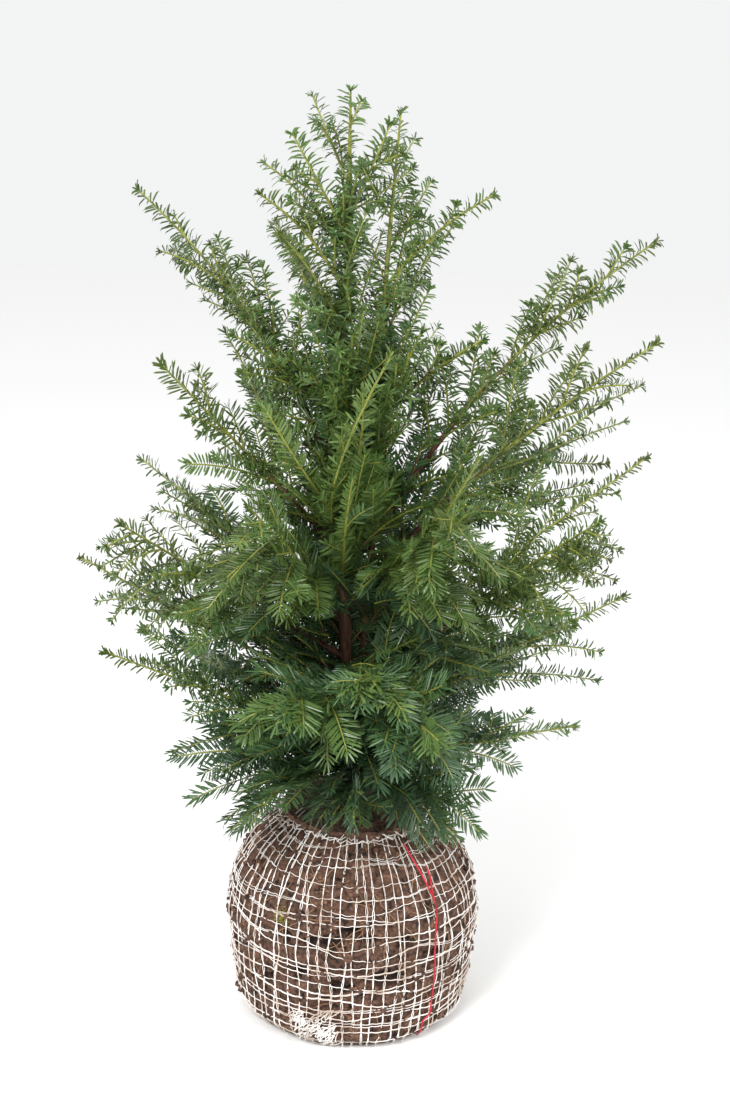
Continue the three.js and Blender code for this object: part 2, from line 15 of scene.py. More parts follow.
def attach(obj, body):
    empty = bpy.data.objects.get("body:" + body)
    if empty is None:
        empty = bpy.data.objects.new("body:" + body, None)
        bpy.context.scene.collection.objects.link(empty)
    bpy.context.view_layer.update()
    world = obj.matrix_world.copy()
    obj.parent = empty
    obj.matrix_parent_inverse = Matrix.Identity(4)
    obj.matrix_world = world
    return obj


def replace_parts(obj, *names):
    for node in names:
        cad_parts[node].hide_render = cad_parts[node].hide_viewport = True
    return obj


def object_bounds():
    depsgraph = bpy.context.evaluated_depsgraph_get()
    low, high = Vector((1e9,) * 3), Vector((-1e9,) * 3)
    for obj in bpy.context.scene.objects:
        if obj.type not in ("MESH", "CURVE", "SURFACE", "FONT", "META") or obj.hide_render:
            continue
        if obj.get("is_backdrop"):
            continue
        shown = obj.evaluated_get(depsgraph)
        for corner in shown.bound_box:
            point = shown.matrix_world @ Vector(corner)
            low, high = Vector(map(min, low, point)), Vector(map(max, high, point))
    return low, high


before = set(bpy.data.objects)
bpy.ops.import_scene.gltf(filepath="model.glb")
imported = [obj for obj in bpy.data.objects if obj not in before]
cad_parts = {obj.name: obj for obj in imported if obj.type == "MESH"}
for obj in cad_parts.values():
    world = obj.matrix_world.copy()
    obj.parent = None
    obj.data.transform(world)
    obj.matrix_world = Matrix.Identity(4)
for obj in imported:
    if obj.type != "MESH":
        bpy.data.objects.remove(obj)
CAD_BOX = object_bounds()
MM = 0.001
print("the plain model measures", [round(side, 3) for side in CAD_BOX[1] - CAD_BOX[0]], "m")

# %% [markdown]
# The camera comes first, so that every later render shows the plant from the same place. It
# stands 1.7 m in front of the plant, as high as its top, and looks down on it. A wide lens
# close by would stretch the nearest shoots, so it is a rather long one.

# %% Camera
CAMERA_PLACE = Vector((0.004, -1.690, 0.996))
LOOKS_DOWN = math.radians(16.3)
LEANS = math.radians(1.3)

camera_data = bpy.data.cameras.new("camera")
camera_data.lens = 57.5
camera_data.sensor_width = 36
camera = bpy.data.objects.new("camera", camera_data)
bpy.context.collection.objects.link(camera)
camera.matrix_world = (
    Matrix.Translation(CAMERA_PLACE)
    @ Matrix.Rotation(math.pi / 2 - LOOKS_DOWN, 4, "X")
    @ Matrix.Rotation(LEANS, 4, "Z")
)
bpy.context.scene.camera = camera
bpy.context.scene.view_settings.view_transform = "Standard"
print("the camera stands at", [round(c, 3) for c in camera.matrix_world.translation])

# %% [markdown]
# Colours are written as sRGB hex values, as a paint chart gives them, and turned to the
# linear values that a shader needs. A texture's scale counts its marks in a metre, so it is
# worked out from the real mark's width in millimetres. One small function adds a node with
# its settings and its links, which keeps every material short.

# %% Colour and node helpers
def linear(hex_colour):
    values = [int(hex_colour[i : i + 2], 16) / 255 for i in (1, 3, 5)]
    return tuple(v / 12.92 if v <= 0.04045 else ((v + 0.055) / 1.055) ** 2.4 for v in values) + (1.0,)


def marks(width):
    """The scale of a texture whose marks are this many millimetres wide."""
    return 1000 / width


def add_node(tree, kind, settings):
    """Add a node. A setting is a socket's value or link, a property, or a colour ramp's stops."""
    made = tree.nodes.new(kind)
    sockets = {socket.identifier: socket for socket in made.inputs}
    for name, value in settings.items():
        value = value.outputs[0] if isinstance(value, bpy.types.Node) else value
        if isinstance(value, bpy.types.NodeSocket):
            tree.links.new(value, sockets[name])
        elif name == "stops":
            ramp = made.color_ramp.elements
            ramp[0].position, ramp[-1].position = value[0][0], value[-1][0]
            for position, _ in value[1:-1]:
                ramp.new(position)
            for stop, (_, hex_colour) in zip(ramp, value):
                stop.color = linear(hex_colour)
        elif name in sockets:
            sockets[name].default_value = value
        else:
            setattr(made, name, value)
    return made


def new_material(name):
    """A material, its empty node tree and the object coordinates that its patterns read."""
    material = bpy.data.materials.new(name)
    material.use_nodes = True
    tree = material.node_tree
    tree.nodes.clear()
    return material, tree, add_node(tree, "ShaderNodeTexCoord", {}).outputs["Object"]


def finish_material(tree, settings):
    shader = add_node(tree, "ShaderNodeBsdfPrincipled", settings)
    add_node(tree, "ShaderNodeOutputMaterial", {"Surface": shader})


print("mid green is", [round(v, 3) for v in linear("#40602a")])

# %% [markdown]
# The floor is a pale sheet of studio paper. Its matt, felted surface shows the plant's soft
# shadow and nothing else. The real felt is finer than a render can show, so its tooth is
# drawn about a millimetre wide.

# %% Paper floor
bpy.ops.object.select_all(action="DESELECT")
bpy.ops.mesh.primitive_plane_add(size=12)
floor = bpy.context.object
floor.name = "floor"
paper, tree, place = new_material("matt studio paper")
grain = add_node(tree, "ShaderNodeTexNoise", {"Scale": marks(1.11), "Vector": place})
tooth = add_node(tree, "ShaderNodeBump", {"Strength": 0.03, "Distance": 0.5 * MM, "Height": grain})
finish_material(tree, {"Base Color": linear("#fbfbfa"), "Roughness": 0.85, "Normal": tooth})
floor.data.materials.append(paper)
floor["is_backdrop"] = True
print("the floor is", round(floor.dimensions.x), "m wide")

# %% [markdown]
# One hard lamp would draw a shadow for every needle and hide the crown's depth. So the light
# is soft: a bright room all round, and two large lamps above the plant, one in front on the
# left and a weaker one on the right.

# %% Soft light
LAMPS_AIM = Vector((0, 0, 0.5))

world = bpy.data.worlds.new("pale room")
world.use_nodes = True
world.node_tree.nodes["Background"].inputs["Color"].default_value = linear("#f5f6f6")
world.node_tree.nodes["Background"].inputs["Strength"].default_value = 0.98
bpy.context.scene.world = world


def soft_lamp(name, place, size, watts):
    data = bpy.data.lights.new(name, "AREA")
    data.shape, data.size, data.energy = "DISK", size, watts
    lamp = bpy.data.objects.new(name, data)
    bpy.context.collection.objects.link(lamp)
    lamp.location = place
    lamp.rotation_euler = (LAMPS_AIM - Vector(place)).to_track_quat("-Z", "Y").to_euler()
    print(name, "gives", watts, "W over", size, "m")


soft_lamp("front_lamp", (-1.1, -2.1, 2.5), 1.1, 78)
soft_lamp("side_lamp", (1.9, -1.5, 1.9), 1.4, 34)

# %% [markdown]
# No two shoots of a plant are alike, yet the lesson must give the same plant each time. So
# every shoot draws its numbers from a small generator that starts at a seed of its own. All
# places are in millimetres until a mesh is made.

# %% Directions and seeded numbers
UP = np.array([0.0, 0.0, 1.0])
BACK = np.array([0.0, 1.0, 0.0])


def seeded_random(seed):
    state = (seed + 1) * 747796405 % 2**32

    def draw():
        nonlocal state
        state = (state * 1664525 + 1013904223) % 2**32
        return state / 2**32

    return draw


def between(low, high, share):
    return low + (high - low) * share


def unit(vectors):
    return vectors / np.linalg.norm(vectors, axis=-1, keepdims=True)


def outwards(turn, rise=0.0):
    """A direction away from the plant's axis, at an angle round it."""
    return np.array([math.cos(turn), math.sin(turn), rise])


print("the first number of seed 1 is", round(seeded_random(1)(), 3))

# %% [markdown]
# A shoot bends evenly under its own weight and towards the light. It could be a chain of
# straight pieces, but a bow needs only three points: its foot, its knee and its tip. Its
# place and its heading are then known at every share of its way.

# %% Bows
class Bow:
    def __init__(self, foot, knee, tip):
        self.foot, self.knee, self.tip = foot, knee, tip
        self.length = np.linalg.norm(np.diff(self.at(np.linspace(0, 1, 25)), axis=0), axis=1).sum()

    def at(self, share):
        t = np.asarray(share, float)[..., None]
        return (1 - t) ** 2 * self.foot + 2 * t * (1 - t) * self.knee + t * t * self.tip

    def heading(self, share):
        t = np.asarray(share, float)[..., None]
        return unit((1 - t) * (self.knee - self.foot) + t * (self.tip - self.knee))

    def stretch(self, start, end):
        middle = (1 - start) * (1 - end) * self.foot + start * end * self.tip
        middle = middle + (start * (1 - end) + end * (1 - start)) * self.knee
        return Bow(self.at(start), middle, self.at(end))


def bow(foot, tip, arch):
    """A bow that rises over its chord by a share of the chord's length."""
    chord = tip - foot
    raised = np.cross(unit(np.cross(chord, UP)), chord)
    return Bow(foot, (foot + tip) / 2 + 2 * arch * raised, tip)


print("a bow of 100 mm with an arch of a tenth is", round(bow(0 * UP, 100 * BACK, 0.1).length, 1), "mm long")

# %% [markdown]
# A stem wavers, so it needs more points than a bow. This curve passes through every place
# that it is given, and it bends most where the places stand close together.

# %% A curve through given places
def smooth_curve(points):
    points = [np.array(p, float) for p in points]
    points = [2 * points[0] - points[1], *points, 2 * points[-1] - points[-2]]

    def at(share):
        place = share * (len(points) - 3)
        step = min(int(place), len(points) - 4)
        w = place - step
        p0, p1, p2, p3 = points[step : step + 4]
        d0, d1, d2 = (np.linalg.norm(b - a) ** 0.5 for a, b in ((p0, p1), (p1, p2), (p2, p3)))
        m1 = ((p1 - p0) / d0 - (p2 - p0) / (d0 + d1) + (p2 - p1) / d1) * d1
        m2 = ((p2 - p1) / d1 - (p3 - p1) / (d1 + d2) + (p3 - p2) / d2) * d1
        return p1 + m1 * w + (3 * (p2 - p1) - 2 * m1 - m2) * w**2 + (2 * (p1 - p2) + m1 + m2) * w**3

    return at


print("halfway between two places lies", smooth_curve([0 * UP, 10 * UP])(0.5).round(1))

# %% [markdown]
# The trunk leans a little to the left, and a second stem leaves it just above the ball. Both
# taper evenly, and the trunk swells where the roots begin.

# %% The two stems
BALL_TOP = 226
TRUNK_TOP = 885
SECOND_STEM_TOP = 820

TRUNK_WAY = [(-8, 0, 300), (-14, -4, 406), (-20, -2, 600), (-21, 0, 709), (-17, 0, 799)]
SECOND_WAY = [(2, 8, 310), (5, 9, 400), (13, 4, 536), (20, 2, 663), (18, 0, 755)]
trunk_at = smooth_curve([(-4, 0, BALL_TOP - 12), *TRUNK_WAY, (-19, 0, TRUNK_TOP)])
second_at = smooth_curve([(-6, 0, 262), *SECOND_WAY, (21, 0, SECOND_STEM_TOP)])
STEMS = {"trunk": trunk_at, "second": second_at}


def trunk_radius(share):
    return 8.2 - 6 * share + 6 * math.exp(-22 * share)


def second_radius(share):
    return 4.8 - 2.8 * share


def stem_at(stem, height):
    """The place on a stem at a height, found by halving."""
    low, high = 0.0, 1.0
    for _ in range(30):
        middle = (low + high) / 2
        low, high = (middle, high) if stem(middle)[2] < height else (low, middle)
    return stem(low)


print("the trunk is", round(2 * trunk_radius(0.3), 1), "mm thick at a third of its height")

# %% [markdown]
# The leading shoots give the crown its outline, so each has a row of its own. A row names
# the shoot, the stem that it grows from and the height where it leaves it, which is the
# stem's own top where none is given. Then come its tip's degrees round the plant, reach from
# the axis and height. The arch says how far it bows up, the bare share how much of its way
# is a limb without needles, and the last number how many main twigs it bears. The plain
# model was grown from the same rows.

# %% The leading shoots
SHOOTS = [
    ("leader", "trunk", None, 180, 19, 954, 0, 0, 0),
    ("right_leader", "second", None, 0, 29, 935, 0, 0, 2),
    ("top_back_left", "trunk", 858, 153, 66, 947, 0, 0, 1),
    ("top_front", "trunk", 830, -67, 54, 925, 0, 0, 1),
    ("top_left", "trunk", 806, 202, 81, 914, 0, 0, 2),
    ("upper_left_1", "trunk", 783, 165, 112, 881, 0.08, 0, 1),
    ("upper_left_2", "trunk", 752, 200, 115, 857, 0.08, 0, 1),
    ("upper_left_3", "trunk", 716, 226, 120, 826, 0.05, 0, 1),
    ("upper_back", "trunk", 688, 135, 140, 818, 0.05, 0, 3),
    ("middle_left", "trunk", 622, 194, 137, 723, 0.06, 0, 3),
    ("front_upright", "trunk", 560, 262, 76, 735, 0.12, 0, 3),
    ("upper_right_1", "second", 796, 32, 75, 868, 0, 0, 1),
    ("upper_right_2", "second", 764, -13, 128, 860, 0.06, 0, 1),
    ("upper_right_3", "second", 716, 40, 118, 822, 0.05, 0, 1),
    ("middle_right_1", "second", 540, -48, 84, 738, 0.08, 0, 4),
    ("middle_right_2", "second", 634, -8, 122, 722, 0.05, 0, 1),
    ("left_high", "trunk", 548, 170, 236, 854, 0.07, 0.36, 2),
    ("left_shoulder", "trunk", 496, 198, 207, 701, 0, 0.34, 1),
    ("left_back", "trunk", 424, 160, 252, 572, 0, 0.34, 4),
    ("left_front", "trunk", 384, 203, 254, 552, 0, 0.34, 4),
    ("left_wide", "trunk", 336, 181, 289, 490, 0, 0.34, 4),
    ("left_low_front", "trunk", 290, 196, 268, 414, 0, 0, 4),
    ("left_low_back", "trunk", 306, 158, 262, 380, 0, 0, 4),
    ("right_high", "second", 508, 0, 284, 819, 0.06, 0.42, 3),
    ("right_shoulder", "second", 462, -12, 288, 730, 0.04, 0.36, 4),
    ("right_back", "second", 420, 22, 280, 640, 0.04, 0.34, 4),
    ("right_wide", "second", 378, 3, 292, 604, 0, 0, 4),
    ("right_front", "second", 330, -31, 264, 575, 0.03, 0.42, 4),
    ("right_low", "second", 312, 2, 279, 458, 0, 0, 4),
    ("right_low_back", "second", 300, 36, 258, 378, 0, 0, 4),
    ("front_left", "trunk", 436, 238, 200, 592, 0, 0, 4),
    ("front_right", "second", 448, -62, 205, 600, 0, 0, 4),
    ("front_middle", "trunk", 366, 275, 200, 428, 0.06, 0, 5),
    ("front_foot", "trunk", 248, 270, 172, 274, 0.08, 0, 6),
    ("front_low_left", "trunk", 344, 250, 205, 392, 0.1, 0, 6),
    ("front_low_right", "trunk", 312, -68, 212, 372, 0.1, 0, 6),
    ("left_foot", "trunk", 268, 184, 195, 274, 0.06, 0, 4),
    ("left_foot_front", "trunk", 262, 224, 176, 238, 0.12, 0, 6),
    ("right_foot", "trunk", 270, -4, 232, 322, 0, 0, 4),
    ("right_foot_front", "trunk", 258, -44, 178, 244, 0.12, 0, 6),
    ("back_high", "trunk", 560, 84, 190, 742, 0.05, 0, 3),
    ("back_left", "trunk", 470, 124, 235, 650, 0.03, 0.34, 4),
    ("back_right", "second", 402, 60, 245, 566, 0, 0, 4),
    ("back_middle", "trunk", 380, 96, 250, 470, 0, 0, 4),
    ("back_low", "trunk", 276, 98, 215, 318, 0, 0, 4),
]
print(len(SHOOTS), "leading shoots")

# %% [markdown]
# A twig leaves its parent at a steady angle, to one hand and then the other, and a little
# out of the parent's plane. That is what makes the sprays of a yew so flat. A random angle
# for each twig would make a bush of no kind.

# %% The rule by which one shoot grows from another
BRANCHING_ANGLE = 38


def turned_round(vector, axis, angle):
    cos, sin = math.cos(angle), math.sin(angle)
    return vector * cos + np.cross(axis, vector) * sin + axis * (axis @ vector) * (1 - cos)


def spread_of(path, roll):
    """The direction in which a shoot spreads its twigs: level, and rolled about its way."""
    along = unit(path.tip - path.foot)
    level = np.cross(along, UP)
    level = BACK if np.linalg.norm(level) < 0.1 else level
    return turned_round(unit(level), along, roll)


def twig_from(parent, share, hand, length, draw, branching=BRANCHING_ANGLE):
    foot = parent["bow"].at(share)
    along = parent["bow"].heading(share)
    angle = math.radians(branching + between(-8, 8, draw()))
    tilt = math.radians(between(-28, 28, draw()))
    crossways = unit(parent["side"] - along * (parent["side"] @ along))
    spread = crossways * hand * math.cos(tilt) + np.cross(along, crossways) * math.sin(tilt)
    direction = along * math.cos(angle) + spread * math.sin(angle)
    side = unit(np.cross(np.cross(along, spread), direction))
    path = bow(foot, foot + direction * length, between(-0.05, 0.07, draw()))
    return dict(bow=path, side=side, twist=between(-0.6, 0.6, draw()), dense=parent["dense"])


print("a twig leaves its parent at about", BRANCHING_ANGLE, "degrees")

# %% [markdown]
# Now each row becomes a leading shoot with its main twigs, grown just as in the plain model.
# The shoots low in the crown are shaded and dense, and the rest are lighter plumes.

# %% Leading shoots and their main twigs
DENSE_BELOW = 740
TWIGS_FROM, TWIGS_TO = 0.05, 0.66
LONGEST_TWIG = 122
TWIG_SEEDS = 1000

leaders = []
for index, (name, stem, height, degrees, reach, top, arch, bare, twig_count) in enumerate(SHOOTS):
    draw = seeded_random(index)
    foot = STEMS[stem](1.0) if height is None else stem_at(STEMS[stem], height)
    turn = math.radians(degrees)
    path = bow(foot, np.array([reach * math.cos(turn), reach * math.sin(turn), top]), arch)
    roll = math.radians(between(30, 62, draw()))
    roll = -roll if draw() < 0.5 else roll
    body = path.stretch(bare, 1)
    leader = dict(name=name, bow=body, side=spread_of(body, roll), twist=between(-0.7, 0.7, draw()))
    leader.update(dense=top < DENSE_BELOW, wood=path.stretch(0, bare) if bare else None)
    leader["twigs"] = []
    for order in range(twig_count):
        share = between(TWIGS_FROM, TWIGS_TO, (order + 0.4 * draw()) / twig_count)
        length = min(body.length * between(0.7, 0.05, share), LONGEST_TWIG) * between(0.85, 1.1, draw())
        twig_draw = seeded_random(TWIG_SEEDS + 50 * index + order)
        leader["twigs"].append(twig_from(leader, share, 1 if order % 2 else -1, length, twig_draw))
    leaders.append(leader)
print(sum(len(leader["twigs"]) for leader in leaders), "main twigs on", len(leaders), "leading shoots")

# %% [markdown]
# The real plant goes on branching where the plain model stops. Finer twigs follow the same
# rule, only shorter, and two helpers keep them inside the plain model's reach. A twig whose
# tip comes out too far is cut back, and a shoot ends a little short of its tip, because its
# last needles reach on.

# %% Finer twigs
CROWN_REACH = 291
NEEDLE_ROOM = 25
TIP_ROOM = 8
FRONT_REACH, BACK_REACH = -186, 236
LOWEST_TIP = 222


def cut_back(path):
    """The path, shortened until its tip lies inside the crown's outline."""
    for _ in range(8):
        x, y, z = path.tip
        if math.hypot(x, y) < CROWN_REACH - NEEDLE_ROOM and FRONT_REACH < y < BACK_REACH and z > LOWEST_TIP:
            return path
        path = path.stretch(0, 0.85)
    return None


def shortened(shoot):
    path = shoot["bow"]
    return dict(shoot, bow=path.stretch(0, 1 - TIP_ROOM / path.length))


def finer(parent, pitch, longest, first, last, seed, branching=BRANCHING_ANGLE):
    """Twigs a pitch apart, from the first share of their parent's way to the last."""
    draw = seeded_random(seed)
    count = max(1, round(parent["bow"].length * (last - first) / pitch))
    grown = []
    for order in range(count):
        share = first + (last - first) * (order + 0.7 * draw()) / count
        length = longest * (1 - 0.5 * share) * between(0.7, 1.1, draw())
        twig = twig_from(parent, share, 1 if (order + seed) % 2 else -1, length, draw, branching)
        path = cut_back(twig["bow"])
        if path:
            grown.append(dict(twig, bow=path))
    return grown


print("the first leading shoot could bear", len(finer(leaders[0], 24, 50, 0.04, 0.76, 1)), "finer twigs")

# %% [markdown]
# This year's growth has not branched yet, so a plume shows clean wands against the sky. The
# longest of them make its outline, and these are placed one by one, by their tips. Each
# leaves its shoot where it can do so at the plume's usual angle.

# %% Side wands
PLUME_ANGLE = 27
WAND_SEEDS = 7600
SIDE_WANDS = {
    "left_high": [
        (-200, 8, 793), (-159, 29, 743), (-148, 50, 800),
        (-120, 55, 782), (-104, 45, 776), (-171, 20, 760),
    ],
    "left_shoulder": [(-135, -15, 719), (-158, -62, 691)],
    "middle_left": [(-124, 4, 694)],
    "left_back": [(-211, 26, 530), (-154, 60, 541)],
    "left_wide": [(-264, -18, 444)],
    "left_low_front": [(-215, -32, 387)],
    "left_low_back": [(-191, -12, 280)],
    "left_foot": [(-170, -20, 231)],
    "right_high": [(228, -12, 761), (187, 16, 780), (162, 17, 747)],
    "right_shoulder": [(250, -57, 684), (203, -20, 692)],
    "right_back": [(261, 20, 633), (260, 26, 557)],
    "right_wide": [(236, 27, 537), (238, -2, 504)],
    "right_front": [(208, -65, 493)],
    "right_low": [(198, 23, 429), (246, -5, 398), (250, 24, 356)],
    "right_foot": [(223, -4, 314)],
    "middle_right_2": [(62, 14, 762), (70, 11, 724)],
}


def side_wand(parent, tip, draw):
    share = np.linspace(0.02, 0.9, 45)
    feet, ways = parent["bow"].at(share), parent["bow"].heading(share)
    angles = np.degrees(np.arccos((unit(tip - feet) * ways).sum(1).clip(-1, 1)))
    path = bow(feet[np.argmin(np.abs(angles - PLUME_ANGLE))], tip, 0.06)
    side = spread_of(path, between(-0.5, 0.5, draw()))
    return dict(bow=path, side=side, twist=between(-0.5, 0.5, draw()), dense=parent["dense"])


leader_named = {leader["name"]: leader for leader in leaders}
wands_of = {name: [] for name in leader_named}
tips = [(bearer, tip) for bearer, its_tips in SIDE_WANDS.items() for tip in its_tips]
for order, (bearer, tip) in enumerate(tips):
    wand = side_wand(leader_named[bearer], np.array(tip, float), seeded_random(WAND_SEEDS + order))
    wands_of[bearer].append(wand)
print(len(tips), "side wands on", len(SIDE_WANDS), "leading shoots")

# %% [markdown]
# The crown grows in three ranks: the leading shoots, the twigs on them and the twiglets on
# those. Shaded masses take long twigs that stand close, and plumes take short ones. Twiglets
# stand only in the crown's inner part, so the outer twigs stay clean wands.

# %% The crown's three ranks
FINER_TWIGS = {
    "dense": dict(pitch=21, longest=92, first=0.04, last=0.7),
    "wide": dict(pitch=21, longest=66, first=0.04, last=0.44),
    "low": dict(pitch=16, longest=84, first=0.04, last=0.62),
    "high": dict(pitch=24, longest=50, first=0.04, last=0.76),
    "small": dict(pitch=28, longest=44, first=0.1, last=0.6),
}
LARGE_SHOOT = 180
WIDE_FROM = 185
LOW_BELOW = 465
TWIGLETS_WITHIN = 170
SHORTEST_BEARER = 46
TWIGLETS = {True: dict(pitch=34, longest=44), False: dict(pitch=36, longest=32)}
FINER_SEEDS, TWIGLET_SEEDS = 7000, 9000


def kind_of(leader):
    wide = abs(leader["bow"].tip[0]) > WIDE_FROM
    if wide and leader["bow"].tip[2] < LOW_BELOW:
        return "low"
    if leader["dense"]:
        return "wide" if wide else "dense"
    return "small" if leader["bow"].length < LARGE_SHOOT else "high"


shoots = []
for index, leader in enumerate(leaders):
    rule = dict(FINER_TWIGS[kind_of(leader)])
    rule["longest"] = min(rule["longest"], 0.5 * leader["bow"].length)
    shoots.append(dict(shortened(leader), rank=1))
    second = [shortened(twig) for twig in leader["twigs"]]
    second += finer(leader, **rule, seed=FINER_SEEDS + index, branching=PLUME_ANGLE)
    second += wands_of[leader["name"]]
    for order, twig in enumerate(second):
        length = twig["bow"].length
        shoots.append(dict(twig, rank=2))
        if length > SHORTEST_BEARER and np.linalg.norm(twig["bow"].foot[:2]) < TWIGLETS_WITHIN:
            pitch, longest = TWIGLETS[leader["dense"]].values()
            seed = TWIGLET_SEEDS + 97 * index + order
            third = finer(twig, pitch, min(0.55 * length, longest), 0.12, 0.62, seed)
            shoots += [dict(twiglet, rank=3) for twiglet in third]
print(len(shoots), "shoots,", round(sum(s["bow"].length for s in shoots) / 1000), "m in all")

# %% [markdown]
# Yews also sprout from old wood, which fills the crown's middle. Short shoots stand round
# both stems, each turned by the golden angle from the last, so that no two shade each other.
# They are nearly upright near the top and level further down.

# %% Short shoots round the stems
GOLDEN_ANGLE = 137.5
SPUR_SEEDS = 5000


def spur_on(foot, direction, length, dense, seed):
    """A short shoot with its twiglets, or nothing where it has no room."""
    draw = seeded_random(seed)
    path = cut_back(bow(foot, foot + direction * length, between(0.0, 0.12, draw())))
    if not path:
        return []
    side = spread_of(path, between(-0.4, 0.4, draw()))
    spur = dict(bow=path, side=side, twist=between(-0.4, 0.4, draw()), dense=dense, rank=2)
    twiglets = finer(spur, 34, 0.42 * length, 0.2, 0.66, seed + 1)
    return [spur] + [dict(twiglet, rank=3) for twiglet in twiglets]


for stem, lowest, highest, seed in ((trunk_at, 290, 800, 4005), (second_at, 330, 740, 4006)):
    draw = seeded_random(seed)
    height, degrees = lowest, 40.0
    while height < highest:
        degrees += GOLDEN_ANGLE
        out = outwards(math.radians(degrees))
        rise = np.interp(height, [240, 300, 480, 600, 720], [0.12, 0.3, 1.0, 2.2, 3.2])
        rise *= between(0.7, 1.3, draw())
        length = between(88, 132, draw()) * np.interp(height, [460, 540, 700, 800], [1, 1.3, 1, 0.7])
        length *= 0.6 if out[1] < -0.3 and height > 500 else 1
        foot = stem_at(stem, height)
        shoots += spur_on(foot, unit(out + rise * UP), length, height < 640, SPUR_SEEDS + int(height))
        height += between(6.5, 11, draw()) * (1 if height < 500 else 1.7)
print(len(shoots), "shoots with the short ones")

# %% [markdown]
# The stems' last stretches are young and bear needles of their own. Nearly upright wands
# stand in front of the stems. A few long bright ones catch the eye in the crown's front, so
# these are placed one by one: each has the height of its foot on a stem, a knee and a tip.

# %% Leaders and wands at the stems
UPRIGHT_WANDS = 18
UPRIGHT_SEEDS, FRONT_SEEDS = 4700, 4850
FRONT_WANDS = [
    ("trunk", 500, (-58, -84, 560), (26, -95, 718)),
    ("trunk", 560, (2, -64, 596), (-1, -85, 679)),
    ("second", 470, (58, -116, 520), (108, -120, 626)),
    ("trunk", 530, (-44, -62, 570), (-91, -80, 656)),
    ("trunk", 470, (-20, -90, 520), (-9, -105, 600)),
]

for stem, heights in ((trunk_at, (690, 788, TRUNK_TOP)), (second_at, (640, 730, SECOND_STEM_TOP))):
    for low, high in zip(heights, heights[1:]):
        foot, middle, tip = (stem_at(stem, height) for height in (low, (low + high) / 2, high))
        path = Bow(foot, 2 * middle - (foot + tip) / 2, tip)
        shoots.append(dict(bow=path, side=spread_of(path, 0), twist=0.5, dense=False, rank=1, on_stem=True))
for order in range(UPRIGHT_WANDS):
    draw = seeded_random(UPRIGHT_SEEDS + order)
    out = outwards(math.radians(between(206, 334, (order + draw()) / UPRIGHT_WANDS)))
    foot = stem_at(trunk_at, between(430, 640, draw()))
    direction = unit(out + between(1.8, 3.4, draw()) * UP)
    shoots += spur_on(foot, direction, between(130, 190, draw()), False, UPRIGHT_SEEDS + 10 + 3 * order)
for order, (stem, height, knee, tip) in enumerate(FRONT_WANDS):
    path = Bow(stem_at(STEMS[stem], height), np.array(knee, float), np.array(tip, float))
    heading = path.heading(0.6)
    side = turned_round(unit(np.cross(BACK, heading)), heading, 0.6 * (-1) ** order)
    wand = dict(bow=path, side=side, twist=0.5, dense=False, rank=1, bright=True)
    twigs = finer(wand, 34, 44, 0.3, 0.7, FRONT_SEEDS + order)
    shoots += [wand] + [dict(twig, rank=3) for twig in twigs]
print(len(shoots), "shoots with the wands")

# %% [markdown]
# At the trunk's foot short shoots lie out over the ball's rim and hide the neck. Behind the
# stems longer ones fill the crown's depth, so that light doesn't fall through it.

# %% Short shoots at the foot and behind the stems
RIM_SPURS, INNER_SPURS = 24, 26
RIM_SEED, INNER_SEED, INNER_SPUR_SEEDS = 4900, 4950, 5600

draw = seeded_random(RIM_SEED)
for order in range(RIM_SPURS):
    out = outwards(math.radians(GOLDEN_ANGLE * order), between(0.02, 0.22, draw()))
    foot = stem_at(trunk_at, between(246, 300, draw()))
    shoots += spur_on(foot, unit(out), between(96, 142, draw()), True, RIM_SEED + 10 + 3 * order)
draw = seeded_random(INNER_SEED)
for order in range(INNER_SPURS):
    turn = math.radians(between(0, 180, (order + draw()) / INNER_SPURS))
    out = outwards(turn, between(0.1, 0.5, draw()))
    foot = stem_at(trunk_at, between(330, 450, draw()))
    shoots += spur_on(foot, unit(out), between(110, 160, draw()), True, INNER_SPUR_SEEDS + 3 * order)
print(len(shoots), "shoots with those at the foot and behind")

# %% [markdown]
# The bare limbs sprout too, all round and forwards along the limb. And from the front
# masses sprays hang out and down, with their upper faces to the light. They give the crown's
# front its overlapping fans.

# %% Short shoots on the limbs and hanging sprays
LIMB_SPURS_APART = 11
HANGING_SPRAYS_APART = 14
LIMB_SEEDS, HANGING_SEEDS = 6000, 8000

for index, leader in enumerate(leaders):
    wood = leader["wood"]
    if wood:
        draw = seeded_random(LIMB_SEEDS + index)
        count = int(wood.length / LIMB_SPURS_APART)
        for order in range(count):
            share = 0.1 + 0.88 * (order + draw()) / count
            turn = 2.4 * order + draw()
            along = wood.heading(share)
            level = unit(np.cross(along, UP))
            out = level * math.cos(turn) + np.cross(level, along) * math.sin(turn)
            length = between(60, 100, draw())
            direction = unit(out + between(0.8, 1.7, draw()) * along)
            seed = LIMB_SEEDS + 100 + 40 * index + order
            shoots += spur_on(wood.at(share), direction, length, True, seed)
for index, leader in enumerate(leaders):
    body = leader["bow"]
    if leader["dense"] and body.tip[1] < -80 and body.tip[2] > 300:
        draw = seeded_random(HANGING_SEEDS + index)
        for order in range(int(body.length / HANGING_SPRAYS_APART)):
            foot = body.at(between(0.2, 0.9, draw()))
            out = foot * [1, 1, 0] / np.linalg.norm(foot[:2])
            level = np.cross(out, UP) * between(-1.0, 1.0, draw())
            spray = unit(out + level - between(0.1, 0.7, draw()) * UP)
            seed = HANGING_SEEDS + 100 + 40 * index + order
            shoots += spur_on(foot, spray, between(62, 100, draw()), True, seed)
print(len(shoots), "shoots with those on the limbs")

# %% [markdown]
# In the middle of the crown's front a small gap lets the two stems show. Someone who looks
# down on the plant sees through it at a slant, so it lies higher the further forward a
# shoot stands. Twigs that cross it are left out whole, and later the single needles that
# would reach into it.

